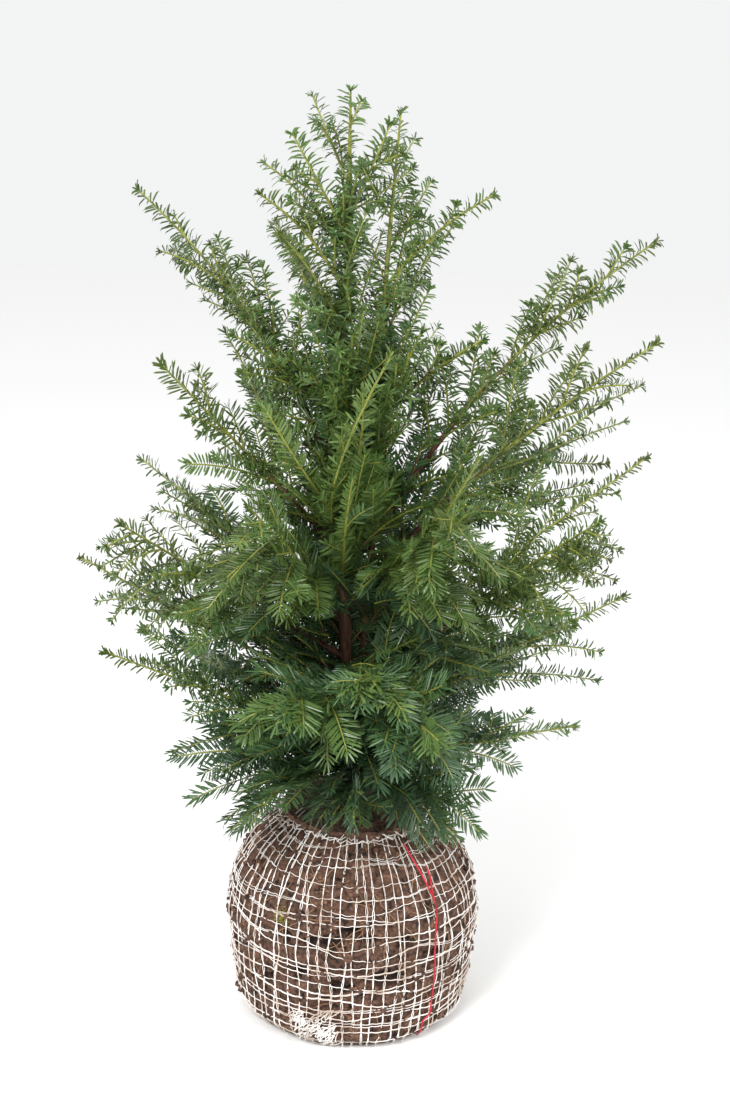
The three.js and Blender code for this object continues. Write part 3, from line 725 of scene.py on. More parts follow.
# %% The gap in front of the stems
GAP_MIDDLE, GAP_HALF_WIDTH = -8, 22
GAP_FROM, GAP_TO = 382, 428
LOOKING_DOWN = 0.34


def in_gap(places):
    level = places[:, 2] + LOOKING_DOWN * places[:, 1]
    across = np.abs(places[:, 0] - GAP_MIDDLE) < GAP_HALF_WIDTH
    return across & (places[:, 1] < -6) & (level > GAP_FROM) & (level < GAP_TO)


shoots = [s for s in shoots if s["rank"] == 1 or not in_gap(s["bow"].at(np.linspace(0.2, 1, 9))).any()]
print(len(shoots), "shoots stay,", round(sum(s["bow"].length for s in shoots) / 1000), "m in all")

# %% [markdown]
# Thousands of small things, such as needles, are made from arrays and joined, each kind in a
# mesh of its own, because as many objects would be too slow to handle. This helper makes
# such a mesh, gives it its material and ties it to the plant's one body.

# %% Joined pieces
def joined_piece(name, vertices, faces, material, slot):
    mesh = bpy.data.meshes.new(name)
    mesh.from_pydata(np.asarray(vertices) * MM, [], faces)
    mesh.update()
    piece = bpy.data.objects.new(name, mesh)
    bpy.context.collection.objects.link(piece)
    mesh.materials.append(material)
    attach(piece, "root")
    print(name, "has", sum(len(face) - 2 for face in faces), "triangles")
    return piece


print("a mesh is in metres, so 1000 mm become", 1000 * MM)

# %% [markdown]
# Twigs, roots and yarns are all round and thin. A curve with a bevel would do for a few, but
# for thousands it is quicker to lay rings of three to five points along each way and to close
# the tube's two ends.

# %% Round tubes
def tubes(paths, sides):
    """Closed tubes of few sides. Each path is a list of places and a list of radii."""
    vertices, faces = [], []
    around = np.arange(sides) * 2 * np.pi / sides
    for places, radii in paths:
        places, radii = np.asarray(places, float), np.asarray(radii, float)
        along = unit(np.gradient(places, axis=0))
        reference = UP if abs(along[0] @ UP) < 0.9 else BACK
        across = unit(np.cross(along, reference))
        over = np.cross(along, across)
        rings = places[:, None] + radii[:, None, None] * (
            np.cos(around)[None, :, None] * across[:, None] + np.sin(around)[None, :, None] * over[:, None]
        )
        start = len(vertices)
        vertices.extend(rings.reshape(-1, 3))
        for ring in range(len(places) - 1):
            low = start + ring * sides
            for k in range(sides):
                other = (k + 1) % sides
                faces.append((low + k, low + other, low + sides + other, low + sides + k))
        faces.append(tuple(start + k for k in reversed(range(sides))))
        faces.append(tuple(start + (len(places) - 1) * sides + k for k in range(sides)))
    return vertices, faces


print("a straight tube of five sides has", len(tubes([([0 * UP, UP], [1, 1])], 5)[1]), "faces")

# %% [markdown]
# The bark of a yew is thin, red-brown and flaking. Old flakes are paler and lift at their
# edges, and the bark under a fresh flake is dark and red. It is dull, with patches that are
# a little smoother. Noise stretched along the stem gives the flakes, about three
# millimetres wide. Near the top the bark is still young and olive.

# %% Bark material
FLAKE_STRETCH = 0.22
YOUNG_FROM, YOUNG_TO = 620 * MM, 780 * MM


def bark_material(name, flake_hex, ridge_hex, fresh_hex):
    material, tree, place = new_material(name)
    height = add_node(tree, "ShaderNodeSeparateXYZ", {"Vector": place}).outputs["Z"]
    flat = add_node(tree, "ShaderNodeMapping", {"Scale": (1.0, 1.0, FLAKE_STRETCH), "Vector": place})
    look = {"Scale": marks(3.125), "Detail": 6.0, "Roughness": 0.62, "Vector": flat}
    flakes = add_node(tree, "ShaderNodeTexNoise", look)
    patches = add_node(tree, "ShaderNodeTexVoronoi", {"Scale": marks(7.14), "Vector": flat})
    stops = [(0.36, fresh_hex), (0.5, ridge_hex), (0.66, flake_hex)]
    colours = add_node(tree, "ShaderNodeValToRGB", {"stops": stops, "Fac": flakes})
    rising = {"From Min": YOUNG_FROM, "From Max": YOUNG_TO, "Value": height}
    young = add_node(tree, "ShaderNodeMapRange", rising)
    olive = {"Fac": young, "Color1": colours, "Color2": linear("#6f7434")}
    aged = add_node(tree, "ShaderNodeMixRGB", olive)
    rough = add_node(tree, "ShaderNodeMapRange", {"To Min": 0.62, "To Max": 0.9, "Value": patches})
    lift = add_node(tree, "ShaderNodeBump", {"Strength": 0.55, "Distance": 0.8 * MM, "Height": flakes})
    finish_material(tree, {"Base Color": aged, "Roughness": rough, "Normal": lift})
    return material


BARK = bark_material("flaking yew bark", "#74503c", "#593a2b", "#3b231a")
YOUNG_BARK = bark_material("smooth brown twig bark", "#75683e", "#665831", "#4f4024")
print("two barks made")

# %% [markdown]
# A stem or limb could be a bevelled curve, but then its surface would be as smooth as a
# pipe. So it starts as a cylinder, and this helper says where each of its corners goes: to
# its place along the stem's curve, with the radius there and the low ridges and flakes
# that a hand can feel.

# %% Bark relief
FLAKE_RELIEF, RIDGE_RELIEF = 0.09, 0.06


def placed_on_limb(corner, centre_at, radius_at):
    """Where a corner of the unit cylinder goes, on a limb with bark relief."""
    share = corner.z + 0.5
    centre = centre_at(share)
    along = unit(centre_at(min(share + 0.01, 1)) - centre_at(max(share - 0.01, 0)))
    across = unit(np.cross(along, BACK if abs(along[2]) > 0.5 else UP))
    over = np.cross(along, across)
    flake = noise.noise(Vector((corner.x * 2.2, corner.y * 2.2, centre[2] / 14)))
    ridge = noise.noise(Vector((corner.x * 4.5, corner.y * 4.5, centre[2] / 5 + 40)))
    radius = radius_at(share) * (1 + FLAKE_RELIEF * flake + RIDGE_RELIEF * ridge)
    return centre + radius * (corner.x * across + corner.y * over)


print("the relief is up to", FLAKE_RELIEF + RIDGE_RELIEF, "of a limb's radius")

# %% [markdown]
# By hand one would add a cylinder, select its upright edges, subdivide them into rings and
# pull the rings to their places. The function does so too, and turns the faces outwards at
# the end. The two stems and ten limbs then take the place of the plain model's trunk,
# second stem and boughs. The trunk's foot is flat, and level with the top of the ball.

# %% Stems and limbs
LIMB_FOOT, LIMB_END = 3.4, 2.4


def limb_radius(share):
    return between(LIMB_FOOT, LIMB_END, share)


def limb(name, centre_at, radius_at, sides, rings, lowest=0):
    bpy.ops.object.select_all(action="DESELECT")
    bpy.ops.mesh.primitive_cylinder_add(vertices=sides, radius=1, depth=1, end_fill_type="NGON")
    piece = bpy.context.object
    piece.name = name
    mesh = piece.data
    bpy.ops.object.mode_set(mode="EDIT")
    bpy.ops.mesh.select_mode(type="EDGE")
    bpy.ops.mesh.select_all(action="DESELECT")
    bpy.ops.object.mode_set(mode="OBJECT")
    for edge in mesh.edges:
        low, high = (mesh.vertices[v].co.z for v in edge.vertices)
        edge.select = abs(high - low) > 0.5
    bpy.ops.object.mode_set(mode="EDIT")
    bpy.ops.mesh.subdivide(number_cuts=rings - 1)
    bpy.ops.object.mode_set(mode="OBJECT")
    for vertex in mesh.vertices:
        spot = placed_on_limb(vertex.co, centre_at, radius_at)
        spot[2] = max(spot[2], lowest)
        vertex.co = Vector(spot) * MM
    bpy.ops.object.mode_set(mode="EDIT")
    bpy.ops.mesh.select_all(action="SELECT")
    bpy.ops.mesh.normals_make_consistent(inside=False)
    bpy.ops.object.mode_set(mode="OBJECT")
    bpy.ops.object.shade_smooth()
    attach(piece, "root")
    mesh.materials.append(BARK)
    print(name, "has", len(mesh.vertices), "vertices")
    return piece


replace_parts(limb("stem_left", trunk_at, trunk_radius, 20, 150, BALL_TOP - 2), "trunk")
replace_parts(limb("stem_right", second_at, second_radius, 16, 110), "second_stem")
for leader in leaders:
    if leader["wood"]:
        piece = limb("limb_" + leader["name"], leader["wood"].at, limb_radius, 12, 26)
        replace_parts(piece, "bough_" + leader["name"])

# %% [markdown]
# A yew twig stays yellow-green and faintly glossy for its first years, and then turns brown.
# The joined tubes are too thin for relief, so this year's skin carries fine streaks of a
# lighter and a darker green.

# %% Green twig material
def green_twig_material():
    material, tree, place = new_material("young green twig")
    streaks = add_node(tree, "ShaderNodeTexNoise", {"Scale": marks(3.85), "Detail": 3.0, "Vector": place})
    stops = [(0.35, "#727a2e"), (0.7, "#979a48")]
    colours = add_node(tree, "ShaderNodeValToRGB", {"stops": stops, "Fac": streaks})
    lift = add_node(tree, "ShaderNodeBump", {"Strength": 0.2, "Distance": 0.3 * MM, "Height": streaks})
    finish_material(tree, {"Base Color": colours, "Roughness": 0.5, "Normal": lift})
    return material


GREEN_TWIG = green_twig_material()
print("green twig made")

# %% [markdown]
# Every shoot now gets its twig, a thin tube along its bow. It is brown where it leaves an old
# limb or a stem and green further out, so a shoot near old wood is cut in two.

# %% Twigs
TWIG_RADIUS = {1: (2.0, 0.9), 2: (1.2, 0.7), 3: (0.8, 0.5)}
TWIG_RINGS = {1: 9, 2: 6, 3: 4}
BROWN_RINGS = 3
BROWN_WITHIN = 60


def starts_brown(shoot):
    if shoot["rank"] == 1:
        return shoot["dense"] or shoot["bow"].length > LARGE_SHOOT
    return shoot["rank"] == 2 and np.linalg.norm(shoot["bow"].foot[:2]) < BROWN_WITHIN


old_wood, new_wood = [], []
for shoot in shoots:
    if shoot.get("on_stem"):
        continue
    share = np.linspace(0, 1, TWIG_RINGS[shoot["rank"]])
    places, radii = shoot["bow"].at(share), between(*TWIG_RADIUS[shoot["rank"]], share)
    if starts_brown(shoot):
        old_wood.append((places[:BROWN_RINGS], radii[:BROWN_RINGS]))
        places, radii = places[BROWN_RINGS - 1 :], radii[BROWN_RINGS - 1 :]
    new_wood.append((places, radii))
joined_piece("twigs_old", *tubes(old_wood, 5), YOUNG_BARK, "bark")
joined_piece("twigs_new", *tubes(new_wood, 4), GREEN_TWIG, "bark")

# %% [markdown]
# A needle is a flat leaf, about two centimetres long. It grows longest in the crown's shade
# and shortest on the plumes. One length for all would make the plant look like a toy, so a
# needle's length is worked out from the place and the rank of its shoot.

# %% The length of needles
LONGEST_IN_SHADE, LONGEST_IN_LIGHT, LONGEST_ON_PLUMES = 21.5, 20, 17
SIZE_BY_RANK = {1: 1.08, 2: 1.0, 3: 0.88}


def sunlit(place):
    """From 0 in the crown's shaded middle to 1 at its sides and top."""
    return float(np.clip((max(abs(place[0]) / 290, (place[2] - 420) / 400) - 0.42) / 0.3, 0, 1))


def longest_needle(shoot, sun, draw):
    x, _, z = shoot["bow"].at(0.7)
    on_plume = max(np.clip((abs(x) - 70) / 90, 0, 1), np.clip((z - 430) / 80, 0, 1))
    on_plume = on_plume * np.clip((710 - z) / 100, 0, 1)
    longest = between(between(LONGEST_IN_SHADE, LONGEST_IN_LIGHT, sun), LONGEST_ON_PLUMES, on_plume)
    longest *= SIZE_BY_RANK[shoot["rank"]] * draw.uniform(0.85, 1.1)
    return longest * (0.85 if shoot.get("bright") else 1)


print("the light is", sunlit(300 * UP), "low in the crown's middle and", sunlit(900 * UP), "at its top")

# %% [markdown]
# In the shade needles stand in two flat ranks and curve forwards. On a wand in full light
# they stand all round it and curve back, and a tuft of them closes its tip. Needles strewn
# by chance would look like moss, so each rank keeps its pitch, with a little play.

# %% Needles along a shoot
NEEDLE_GAP = 2.8
BARE_FOOT = {1: 10, 2: 7, 3: 4}
TUFT = 9
TIP_FROM = 0.94


def needle_rank(shoot, hand, count, sun, longest, draw):
    """One rank of needles: foot, direction, upper side, size and curl. Hand 0 is the tip's tuft."""
    path = shoot["bow"]
    if hand:
        order = np.arange(count) + (0.5 if hand > 0 else 0)
        way = BARE_FOOT[shoot["rank"]] + NEEDLE_GAP * (order + draw.uniform(-0.25, 0.25, count))
        t = np.clip(way / path.length, 0, 1)
        steep = between(between(74, 54, sun), between(52, 44, sun), t**2) - 16 * (t > TIP_FROM)
        lift = draw.normal(between(12, 16, sun), between(8, 60, sun), count)
    else:
        count = TUFT if sun > 0.4 and shoot["rank"] < 3 else 3
        t = draw.uniform(0.975, 1.0, count)
        steep = draw.uniform(14, 48, count)
        lift = np.arange(count) * 360 / count + draw.uniform(-15, 15, count)
    along = path.heading(t)
    side = unit(shoot["side"] - along * (along @ shoot["side"])[:, None])
    over = np.cross(along, side)
    if over[0][2] < 0:
        side, over = -side, -over
    turn = (shoot["twist"] * t)[:, None]
    side, over = side * np.cos(turn) + over * np.sin(turn), over * np.cos(turn) - side * np.sin(turn)
    steep = np.radians(steep + draw.normal(0, 5, count))[:, None]
    lift = np.radians(lift)[:, None]
    spread = (hand or 1) * side * np.cos(lift) + over * np.sin(lift)
    direction = along * np.cos(steep) + spread * np.sin(steep)
    upper = unit(over - direction * (direction * over).sum(1)[:, None])
    roll = draw.normal(0, 0.32, count)[:, None]
    upper = upper * np.cos(roll) + np.cross(direction, upper) * np.sin(roll)
    size = longest * (0.62 + 0.38 * np.sin(np.pi * np.clip(0.2 + 0.66 * t, 0, 1)))
    size = size * draw.uniform(0.88, 1.08, count)
    size = np.where(t > TIP_FROM, size * 0.8, size)
    curl = along * (between(0.2, -0.5, sun) * draw.uniform(0.6, 1.2, count))[:, None]
    curl = curl + upper * draw.normal(-0.04, 0.06, count)[:, None]
    return path.at(t), direction, upper, size, curl


def needles_on(shoot, draw):
    """Every needle on a shoot, or nothing where the shoot is too short."""
    sun = sunlit(shoot["bow"].at(0.7))
    longest = longest_needle(shoot, sun, draw)
    count = int((shoot["bow"].length - BARE_FOOT[shoot["rank"]]) / NEEDLE_GAP)
    if count < 2:
        return None
    ranks = [needle_rank(shoot, hand, count, sun, longest, draw) for hand in (1, -1, 0)]
    return [np.concatenate(parts) for parts in zip(*ranks)]


print("the first shoot bears", len(needles_on(shoots[0], np.random.default_rng(1))[0]), "needles")

# %% [markdown]
# A needle is two millimetres wide, with a ridge along its upper side and a point. It could
# be a flat card with a picture on it, but a card vanishes from the side. Eight corners and
# twelve triangles give it two long edges, the ridge, an underside and the point. All the
# needles of a piece are worked out at once, as arrays.

# %% The needle's shape
NEEDLE_WIDTH = 2.0
RIDGE = 0.45
WIDE_PART = (0.26, 0.78)
NEEDLE_FACES = [
    (0, 1, 2), (0, 2, 3), (0, 3, 1),
    (1, 4, 5, 2), (2, 5, 6, 3), (3, 6, 4, 1),
    (4, 7, 5), (5, 7, 6), (6, 7, 4),
]


def needle_mesh(sprays):
    foot, direction, upper, size, curl = (np.concatenate(parts) for parts in zip(*sprays))
    kept = ~in_gap(foot) & ~in_gap(foot + direction * size[:, None])
    foot, direction, upper, size, curl = (part[kept] for part in (foot, direction, upper, size, curl))
    half = NEEDLE_WIDTH / 2
    across, size = np.cross(direction, upper), size[:, None]
    corners = [foot]
    for share in WIDE_PART:
        middle = foot + size * (share * direction + share**2 * curl)
        corners += [middle - across * half, middle + across * half, middle + upper * half * RIDGE]
    corners.append(foot + size * (direction + curl))
    vertices = np.stack(corners, 1).reshape(-1, 3)
    starts = range(0, len(vertices), len(corners))
    return vertices, [tuple(start + k for k in face) for start in starts for face in NEEDLE_FACES]


print("a needle has", sum(len(face) - 2 for face in NEEDLE_FACES), "triangles")

# %% [markdown]
# The needles' upper side is waxy, so it takes soft highlights. Each spray takes one plain
# tint, so the colours lie by spray as they do on the plant. The tints are partly painted
# shade and light: darker in the shade of the crown and lighter in its upper front, while the
# young growth is yellower. The bloom of wax is finer than a render can show, so its patches
# are drawn more than five millimetres wide.

# %% Needle material
# Tints of one needle, partly painted shade and light: shade and deep for sprays in the crown's shaded
# middle, green for those in more light, fresh and young for the yellower growth outside and on top, and
# bright for young shoots in front.
TINTS = {
    "shade": "#3f5a3c",
    "deep": "#49663d",
    "green": "#556f37",
    "fresh": "#485f2b",
    "young": "#4a5b26",
    "bright": "#5f763a",
}


def needle_material(name, hex_colour):
    material, tree, place = new_material(name)
    wax = add_node(tree, "ShaderNodeTexNoise", {"Scale": marks(5.56), "Detail": 2.0, "Vector": place})
    rough = add_node(tree, "ShaderNodeMapRange", {"To Min": 0.24, "To Max": 0.4, "Value": wax})
    lift = add_node(tree, "ShaderNodeBump", {"Strength": 0.12, "Distance": 0.3 * MM, "Height": wax})
    look = {"Base Color": linear(hex_colour), "IOR": 1.5, "Roughness": rough, "Normal": lift}
    finish_material(tree, look)
    return material


NEEDLES = {tint: needle_material("waxy yew needle, " + tint, TINTS[tint]) for tint in TINTS}
print(len(NEEDLES), "tints of needle made")

# %% [markdown]
# A spray's tint follows the light that reaches it: more towards the crown's outside, its top
# and its upper front, with some chance. The needles of one tint are then shared out among
# pieces that stay small enough to handle. Together they take the place of all the masses.

# %% Needles on every shoot
LIGHT_STEPS = [0.34, 0.56, 0.8, 1.02]
BRIGHT_SHARE = 0.16
NEEDLES_A_PIECE = 15000


def tint_of(shoot, draw):
    tip, middle = shoot["bow"].tip, shoot["bow"].at(0.5)
    outward = math.hypot(tip[0], tip[1]) / CROWN_REACH
    # Painted light and shade: the tint is picked by how much light the spray would get. It gets more towards
    # the outside and the top, and more again in the upper front, where the front lamp falls.
    light = 0.62 * outward + 0.72 * (tip[2] - 230) / 720 + draw.normal(0, 0.13)
    light += 0.18 if middle[1] < -15 and middle[2] > 480 else 0
    in_front = middle[1] < -70 and middle[2] > 400
    if shoot.get("bright") or (in_front and draw.uniform() < BRIGHT_SHARE):
        return "bright"
    return list(TINTS)[int(np.searchsorted(LIGHT_STEPS, light))]


draw_needles = np.random.default_rng(11)
by_tint = {tint: [] for tint in TINTS}
for shoot in shoots:
    tint = tint_of(shoot, draw_needles)
    spray = needles_on(shoot, draw_needles)
    if spray:
        by_tint[tint].append(spray)
needle_pieces = []
for tint, sprays in by_tint.items():
    parts = math.ceil(sum(len(spray[0]) for spray in sprays) / NEEDLES_A_PIECE)
    for part in range(parts):
        name = f"needles_{tint}_{part + 1}"
        needle_pieces.append(joined_piece(name, *needle_mesh(sprays[part::parts]), NEEDLES[tint], "needles"))
for leader in leaders:
    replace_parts(needle_pieces[2], "needles_" + leader["name"])
print(sum(len(piece.data.polygons) for piece in needle_pieces) // len(NEEDLE_FACES), "needles")

# %% [markdown]
# The root ball is damp brown loam, dug out and drawn tight. Its outline comes from the same
# rows as the plain model: a flat underside, a girth at half its height and a shoulder drawn
# in to the neck. It could be turned like a pot, but a real ball is a little lumpy, so its
# radius also waves with the angle and the height.

# %% The ball's outline
BALL_GIRTH = 125
SIDE = [(108, 0), (121, 15), (127, 60), (132, 116), (125, 154), (106, 188), (76, 216), (40, BALL_TOP)]
PROFILE = np.array([(0, 0), *SIDE, (0, BALL_TOP)], float)
PROFILE_WAY = np.concatenate([[0], np.cumsum(np.linalg.norm(np.diff(PROFILE, axis=0), axis=1))])


def outline_at(way):
    """Radius and height of the ball's side at a way along its outline from the underside's middle."""
    return np.interp(way, PROFILE_WAY, PROFILE[:, 0]), np.interp(way, PROFILE_WAY, PROFILE[:, 1])


def lump_at(angle, height):
    fade = np.sin(np.pi * np.clip(height, 0, BALL_TOP) / BALL_TOP)
    return 1.1 * (np.sin(2 * angle + height / 45) + np.sin(3 * angle - height / 60)) * fade


def radius_at_height(height):
    radii, heights = zip(*SIDE)
    return np.interp(height, heights, radii)


def on_ball(angle, height, out):
    """A place off the ball's side, at an angle round it and a height."""
    height = np.asarray(height, float)
    radius = radius_at_height(height) + lump_at(angle, height)
    slope = (radius_at_height(height + 2) - radius_at_height(height - 2)) / 4
    lean = np.arctan(slope)
    radius, lift = radius + out * np.cos(lean), -out * np.sin(lean)
    return np.stack([radius * np.cos(angle), radius * np.sin(angle), height + lift], -1)


print("the outline is", round(PROFILE_WAY[-1]), "mm from pole to pole")

# %% [markdown]
# Where loam has crumbled away behind the net, the ball has hollows, and shade is painted
# into them. A row gives a hollow's degrees round the ball, its height, its half width and its
# half height. Those on the front are listed one by one, and seeded ones follow round the
# sides and the back.

# %% Hollows
SEEDED_HOLLOWS = 22
HOLLOWS = [
    (-100, 124, 17, 9), (-108, 121, 11, 7), (-121, 123, 9, 6), (-92, 138, 12, 5),
    (-82, 131, 11, 4), (-65, 124, 9, 7), (-49, 101, 7, 11), (-40, 113, 8, 5),
    (-74, 86, 18, 11), (-96, 76, 14, 7), (-115, 86, 11, 7), (-133, 70, 8, 7),
]
draw = seeded_random(60)
for order in range(SEEDED_HOLLOWS):
    wide = between(8, 17, draw())
    degrees, height = -20 + 10 * order + 8 * draw(), between(60, 140, draw())
    HOLLOWS.append((degrees, height, wide, wide * between(0.4, 0.8, draw())))
hollows = np.array(HOLLOWS, float)
hollows[:, 0] = np.radians(hollows[:, 0])


def hollow_at(angle, height, ragged):
    """From 0 on the ball's side to 1 in the middle of a hollow."""
    across = (angle - hollows[:, 0] + np.pi) % (2 * np.pi) - np.pi
    far = np.hypot(across * BALL_GIRTH / hollows[:, 2], (height - hollows[:, 1]) / hollows[:, 3])
    return float(np.clip(2.2 - 1.9 * (far.min() + 0.4 * ragged), 0, 1))


print(len(hollows), "hollows")

# %% [markdown]
# Damp loam is dull and rough all over, from near black where it is wet to a dry red-brown.
# Noise gives its clods, about thirteen millimetres wide, and a cell pattern the crumbs, a
# third of that. Shade is painted into the hollows: an attribute that the ball's mesh carries
# darkens the loam there.

# %% Loam material
def loam_material():
    material, tree, place = new_material("damp brown loam with fine roots")
    look = {"Scale": marks(13.3), "Detail": 9.0, "Roughness": 0.74, "Vector": place}
    clods = add_node(tree, "ShaderNodeTexNoise", look)
    crumbs = add_node(tree, "ShaderNodeTexVoronoi", {"Scale": marks(4.35), "Vector": place})
    sum_of = {"operation": "MULTIPLY_ADD", "Value": crumbs, "Value_001": -0.34, "Value_002": clods}
    mixed = add_node(tree, "ShaderNodeMath", sum_of)
    stops = [(0.16, "#20140e"), (0.25, "#4d3528"), (0.42, "#684a3a"), (0.56, "#8c6651")]
    colours = add_node(tree, "ShaderNodeValToRGB", {"stops": stops, "Fac": mixed})
    # Painted shade: the loam is darkened towards near black inside the hollows.
    depth = add_node(tree, "ShaderNodeAttribute", {"attribute_name": "hollow"}).outputs["Fac"]
    dark = {"Fac": depth, "Color1": colours, "Color2": linear("#1b110c")}
    shaded = add_node(tree, "ShaderNodeMixRGB", dark)
    rough = add_node(tree, "ShaderNodeMapRange", {"To Min": 0.8, "To Max": 1.0, "Value": clods})
    lift = add_node(tree, "ShaderNodeBump", {"Strength": 1.0, "Distance": 3 * MM, "Height": mixed})
    finish_material(tree, {"Base Color": shaded, "Roughness": rough, "Normal": lift})
    return material


LOAM = loam_material()
print("loam made")

# %% [markdown]
# A bump in the material would leave the ball's edge as smooth as a plate. So a sphere is
# subdivided and each of its corners is moved: to the outline, then in or out by clods and
# crumbs, and inwards in a hollow. The underside stays flat, because the plant stands on it.

# %% The ball of soil
SHOULDER, RIM = 190, 215
HOLLOW_DEPTH = 8
HOLLOW_SHADE = 0.85


def placed_on_ball(corner):
    """Where a corner of the unit sphere goes, and how deep it lies in a hollow."""
    angle = math.atan2(corner.y, corner.x)
    polar = math.acos(max(-1, min(1, corner.normalized().z)))
    radius, height = outline_at(PROFILE_WAY[-1] * (1 - polar / math.pi))
    radius += lump_at(angle, height) * min(radius / 60, 1)
    spot = Vector((radius * math.cos(angle), radius * math.sin(angle), height))
    clod = noise.fractal(spot / 19, 0.9, 2.0, 3)
    crumb = 1 - 2.4 * abs(noise.noise(spot / 7.5)) + 0.5 * noise.noise(spot / 3.4)
    inward = Vector((math.cos(angle), math.sin(angle), 0.6 if height > SHOULDER else 0.0)).normalized()
    hollow = hollow_at(angle, height, noise.noise(spot / 9) + 0.5 * noise.noise(spot / 4))
    spot -= inward * max(-1.0, 2.2 - 2.6 * clod - 1.8 * crumb + HOLLOW_DEPTH * hollow)
    if height > RIM:
        spot.z = BALL_TOP - 4 + 2.2 * clod + crumb
    spot.z = max(spot.z, 0.0) if height > 0 else 0.0
    return spot, hollow


bpy.ops.object.select_all(action="DESELECT")
bpy.ops.mesh.primitive_uv_sphere_add(segments=120, ring_count=80, radius=1)
soil = bpy.context.object
soil.name = "soil_ball"
bpy.ops.object.mode_set(mode="EDIT")
bpy.ops.mesh.select_all(action="SELECT")
bpy.ops.mesh.subdivide(number_cuts=1)
bpy.ops.object.mode_set(mode="OBJECT")
shades = []
for vertex in soil.data.vertices:
    spot, hollow = placed_on_ball(vertex.co)
    vertex.co = spot * MM
    # The painted shade of each corner, deeper in a hollow.
    shades.append(HOLLOW_SHADE * hollow)
soil.data.attributes.new("hollow", "FLOAT", "POINT").data.foreach_set("value", shades)
soil.data.materials.append(LOAM)
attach(soil, "root")
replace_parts(soil, "root_ball")
print("soil ball:", len(soil.data.polygons), "faces")

# %% [markdown]
# Loose crumbs cling to the ball's side and break up its edge. A crumb is a sphere of twenty
# faces, made uneven and pushed half into the soil. A few are as large as peas, and those in
# the hollows are smaller.

# %% Crumbs
CRUMBS, LARGE_CRUMBS = 2700, 150

draw_soil = np.random.default_rng(5)
bpy.ops.object.select_all(action="DESELECT")
bpy.ops.mesh.primitive_ico_sphere_add(subdivisions=1, radius=1)
seed_crumb = bpy.context.object
crumb_shape = np.array([v.co for v in seed_crumb.data.vertices])
crumb_faces = [tuple(p.vertices) for p in seed_crumb.data.polygons]
bpy.data.objects.remove(seed_crumb)
vertices, faces = [], []
for order in range(CRUMBS):
    angle, height = draw_soil.uniform(0, 2 * np.pi), draw_soil.uniform(6, 216)
    size = draw_soil.uniform(0.8, 2.1) ** 2 * draw_soil.uniform(0.55, 1, 3)
    size *= 1 - 0.6 * hollow_at(angle, height, 0)
    if order < LARGE_CRUMBS:
        size = draw_soil.uniform(3.5, 6.5) * draw_soil.uniform(0.5, 1, 3)
    faces.extend(tuple(len(vertices) + k for k in face) for face in crumb_faces)
    place = on_ball(angle, height, draw_soil.uniform(-2.4, 0.9))
    vertices.extend(place + crumb_shape * size * draw_soil.uniform(0.75, 1.2, (len(crumb_shape), 1)))
joined_piece("soil_crumbs", vertices, faces, LOAM, "soil")

# %% [markdown]
# The yew's own hair roots hold the loam together, and dry ones run over its side. They are
# dull straw-brown fibres. Each is a thin tube that wanders over the ball by small steps.

# %% Fine roots
def mottled_material(name, mark_width, dark_hex, light_hex, roughness):
    material, tree, place = new_material(name)
    mottle = add_node(tree, "ShaderNodeTexNoise", {"Scale": marks(mark_width), "Vector": place})
    stops = [(0.0, dark_hex), (1.0, light_hex)]
    colours = add_node(tree, "ShaderNodeValToRGB", {"stops": stops, "Fac": mottle})
    finish_material(tree, {"Base Color": colours, "Roughness": roughness})
    return material


ROOT_FIBRE = mottled_material("dry root fibre", 3.33, "#5a3b28", "#b08a68", 0.8)
ROOTS, ROOT_RINGS, ROOT_STEP = 260, 9, 2.6
hairs = []
for _ in range(ROOTS):
    angle, height = draw_soil.uniform(0, 2 * np.pi), draw_soil.uniform(12, 205)
    wander = draw_soil.normal(0, 1, (ROOT_RINGS, 2)).cumsum(0) * 0.35
    steps = wander + np.linspace(0, 1, ROOT_RINGS)[:, None] * draw_soil.normal(0, 9, 2)
    angles = angle + steps[:, 0] * ROOT_STEP / 120
    heights = np.clip(height + steps[:, 1] * ROOT_STEP, 6, 214)
    places = on_ball(angles, heights, 0.1 + draw_soil.uniform(-0.8, 0.9, ROOT_RINGS))
    hairs.append((places, np.full(ROOT_RINGS, draw_soil.uniform(0.3, 0.55))))
joined_piece("root_hairs", *tubes(hairs, 3), ROOT_FIBRE, "soil")

# %% [markdown]
# The net is knitted from white plastic yarn, with one red yarn as a marker. The plastic is
# smooth with a soft gloss, but soil dust has browned it in patches about two centimetres
# wide, and the twist of its fibres shows as a fine relief.

# %% Yarn material
def yarn_material(name, clean_hex, dusty_hex):
    material, tree, place = new_material(name)
    dust = add_node(tree, "ShaderNodeTexNoise", {"Scale": marks(22.2), "Detail": 4.0, "Vector": place})
    twist = add_node(tree, "ShaderNodeTexNoise", {"Scale": marks(1.11), "Vector": place})
    stops = [(0.3, dusty_hex), (0.55, clean_hex)]
    colours = add_node(tree, "ShaderNodeValToRGB", {"stops": stops, "Fac": dust})
    lift = add_node(tree, "ShaderNodeBump", {"Strength": 0.4, "Distance": 0.4 * MM, "Height": twist})
    finish_material(tree, {"Base Color": colours, "Roughness": 0.55, "Normal": lift})
    return material


WHITE_YARN = yarn_material("white knitted net yarn", "#faf5f0", "#cbb8a8")
RED_YARN = yarn_material("red marker yarn", "#c81e30", "#8e1a22")
print("two yarns made")

# %% [markdown]
# Upright chains of loops stand about eleven millimetres apart. A grid wrapped round the ball
# would look like wire. The real net was drawn over the ball and gathered at the neck, so each
# chain wanders, and its two strands cross and part as they climb from under the ball.

# %% The net's upright chains
UPRIGHTS = 72
YARN = 0.46

draw_net = np.random.default_rng(23)
yarns = []


def thinner_above(height):
    """The yarn is pulled thin over the shoulder and lies slack and thick lower down."""
    return np.interp(height, [40, 120, 190], [1.1, 0.95, 0.72])


